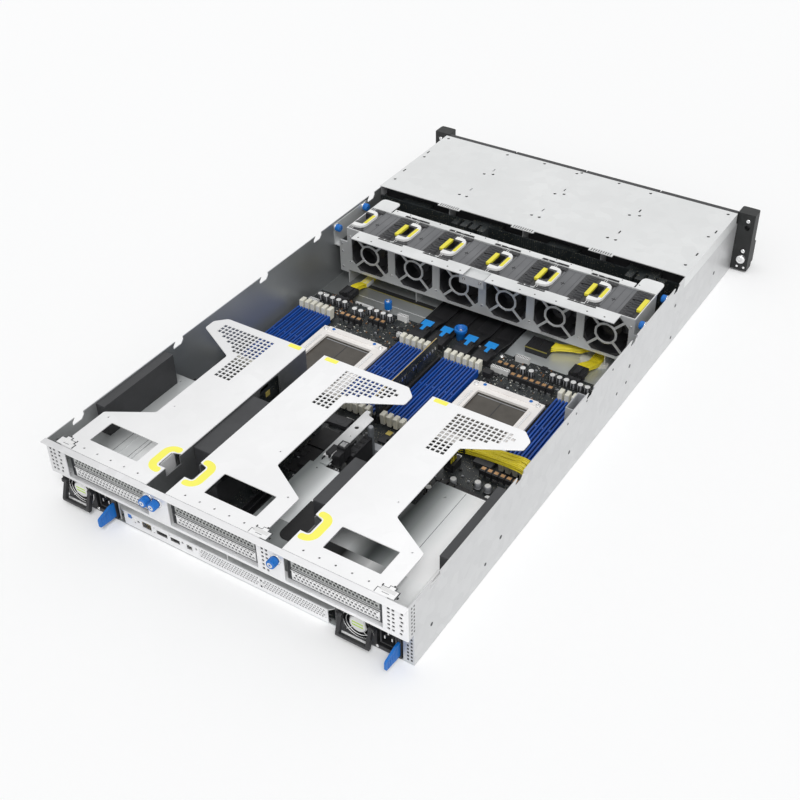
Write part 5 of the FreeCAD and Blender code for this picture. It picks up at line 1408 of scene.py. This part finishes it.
# Small rounded edges on the CAD pieces that show
for softened, width in (("fan_cage", 0.25), ("chassis_base", 0.25), ("air_baffles", 0.8),
                        ("cpu_sockets", 0.5), ("rack_ears", 0.6), ("side_port_bracket", 0.3),
                        ("center_card", 0.1), ("memory_sockets", 0.25), ("memory_latches_front", 0.8),
                        ("memory_latches_rear", 0.8), ("data_cables", 0.3), ("board_components", 0.3)):
    soften(softened, width)
for side_name in ("left", "right"):
    soften("psu_" + side_name, 0.3)
    soften("psu_handle_" + side_name, 0.5)
    soften("psu_latch_" + side_name, 0.4)
for fan_number in range(1, 7):
    soften("fan_%d" % fan_number, 0.4)
for carrier in range(1, 13):
    soften("drive_carrier_%d" % carrier, 0.4)


# Floor, light and camera

def stage_set():
    mesh = bpy.data.meshes.new("floor")
    reach = 14.0
    mesh.from_pydata([(x, y, 0) for x, y in rect(-reach, reach, -reach, reach)], [], [(0, 1, 2, 3)])
    floor = bpy.data.objects.new("floor", mesh)
    floor.location.z = -0.0003
    scene.collection.objects.link(floor)
    s = Shader("studio_floor")
    mesh.materials.append(s.finish(s.mottle((0.978,) * 3, (0.985,) * 3, 0.6), 0.9))
    s.surface.inputs["Specular IOR Level"].default_value = 0.0

    world = bpy.data.worlds.new("studio")
    scene.world = world
    world.use_nodes = True
    tree = world.node_tree
    tree.nodes.clear()
    kinds = ("LightPath", "Math", "Background", "Background", "MixShader", "OutputWorld")
    path, rays, soft, seen, mixed, out = (tree.nodes.new("ShaderNode" + kind) for kind in kinds)
    rays.operation = "MAXIMUM"
    for background, color, strength in ((soft, (0.99, 0.995, 1.0, 1), 0.60), (seen, (1, 1, 1, 1), 1.0)):
        background.inputs[0].default_value = color
        background.inputs[1].default_value = strength
    for source, socket in (
            (path.outputs["Is Camera Ray"], rays.inputs[0]), (path.outputs["Is Glossy Ray"], rays.inputs[1]),
            (rays.outputs[0], mixed.inputs[0]), (soft.outputs[0], mixed.inputs[1]),
            (seen.outputs[0], mixed.inputs[2]), (mixed.outputs[0], out.inputs[0])):
        tree.links.new(source, socket)

    for name, energy, angle, turn in (("key", 1.27, 26, (28, 22, 0)), ("fill", 0.30, 60, (50, 0, 50))):
        light = bpy.data.lights.new(name, "SUN")
        light.energy = energy
        light.angle = math.radians(angle)
        lamp = bpy.data.objects.new(name, light)
        lamp.rotation_euler = [math.radians(v) for v in turn]
        scene.collection.objects.link(lamp)


def photo_camera():
    yaw, pitch, roll = (math.radians(v) for v in (-33.3377, -38.2711, -1.1127))
    ahead = Vector((math.sin(yaw) * math.cos(pitch), math.cos(yaw) * math.cos(pitch), math.sin(pitch)))
    right = Vector((math.cos(yaw), -math.sin(yaw), 0))
    up = right.cross(ahead)
    across = right * math.cos(roll) + up * math.sin(roll)
    upward = up * math.cos(roll) - right * math.sin(roll)
    data = bpy.data.cameras.new("photo_camera")
    data.sensor_width = 36.0
    data.lens = 54.966
    camera = bpy.data.objects.new("photo_camera", data)
    turn = Matrix((across, upward, -ahead)).transposed()
    camera.matrix_world = Matrix.Translation(at(610.4, -610.5, 881.7)) @ turn.to_4x4()
    scene.collection.objects.link(camera)
    scene.camera = camera


stage_set()
photo_camera()
scene.view_settings.view_transform = "Standard"
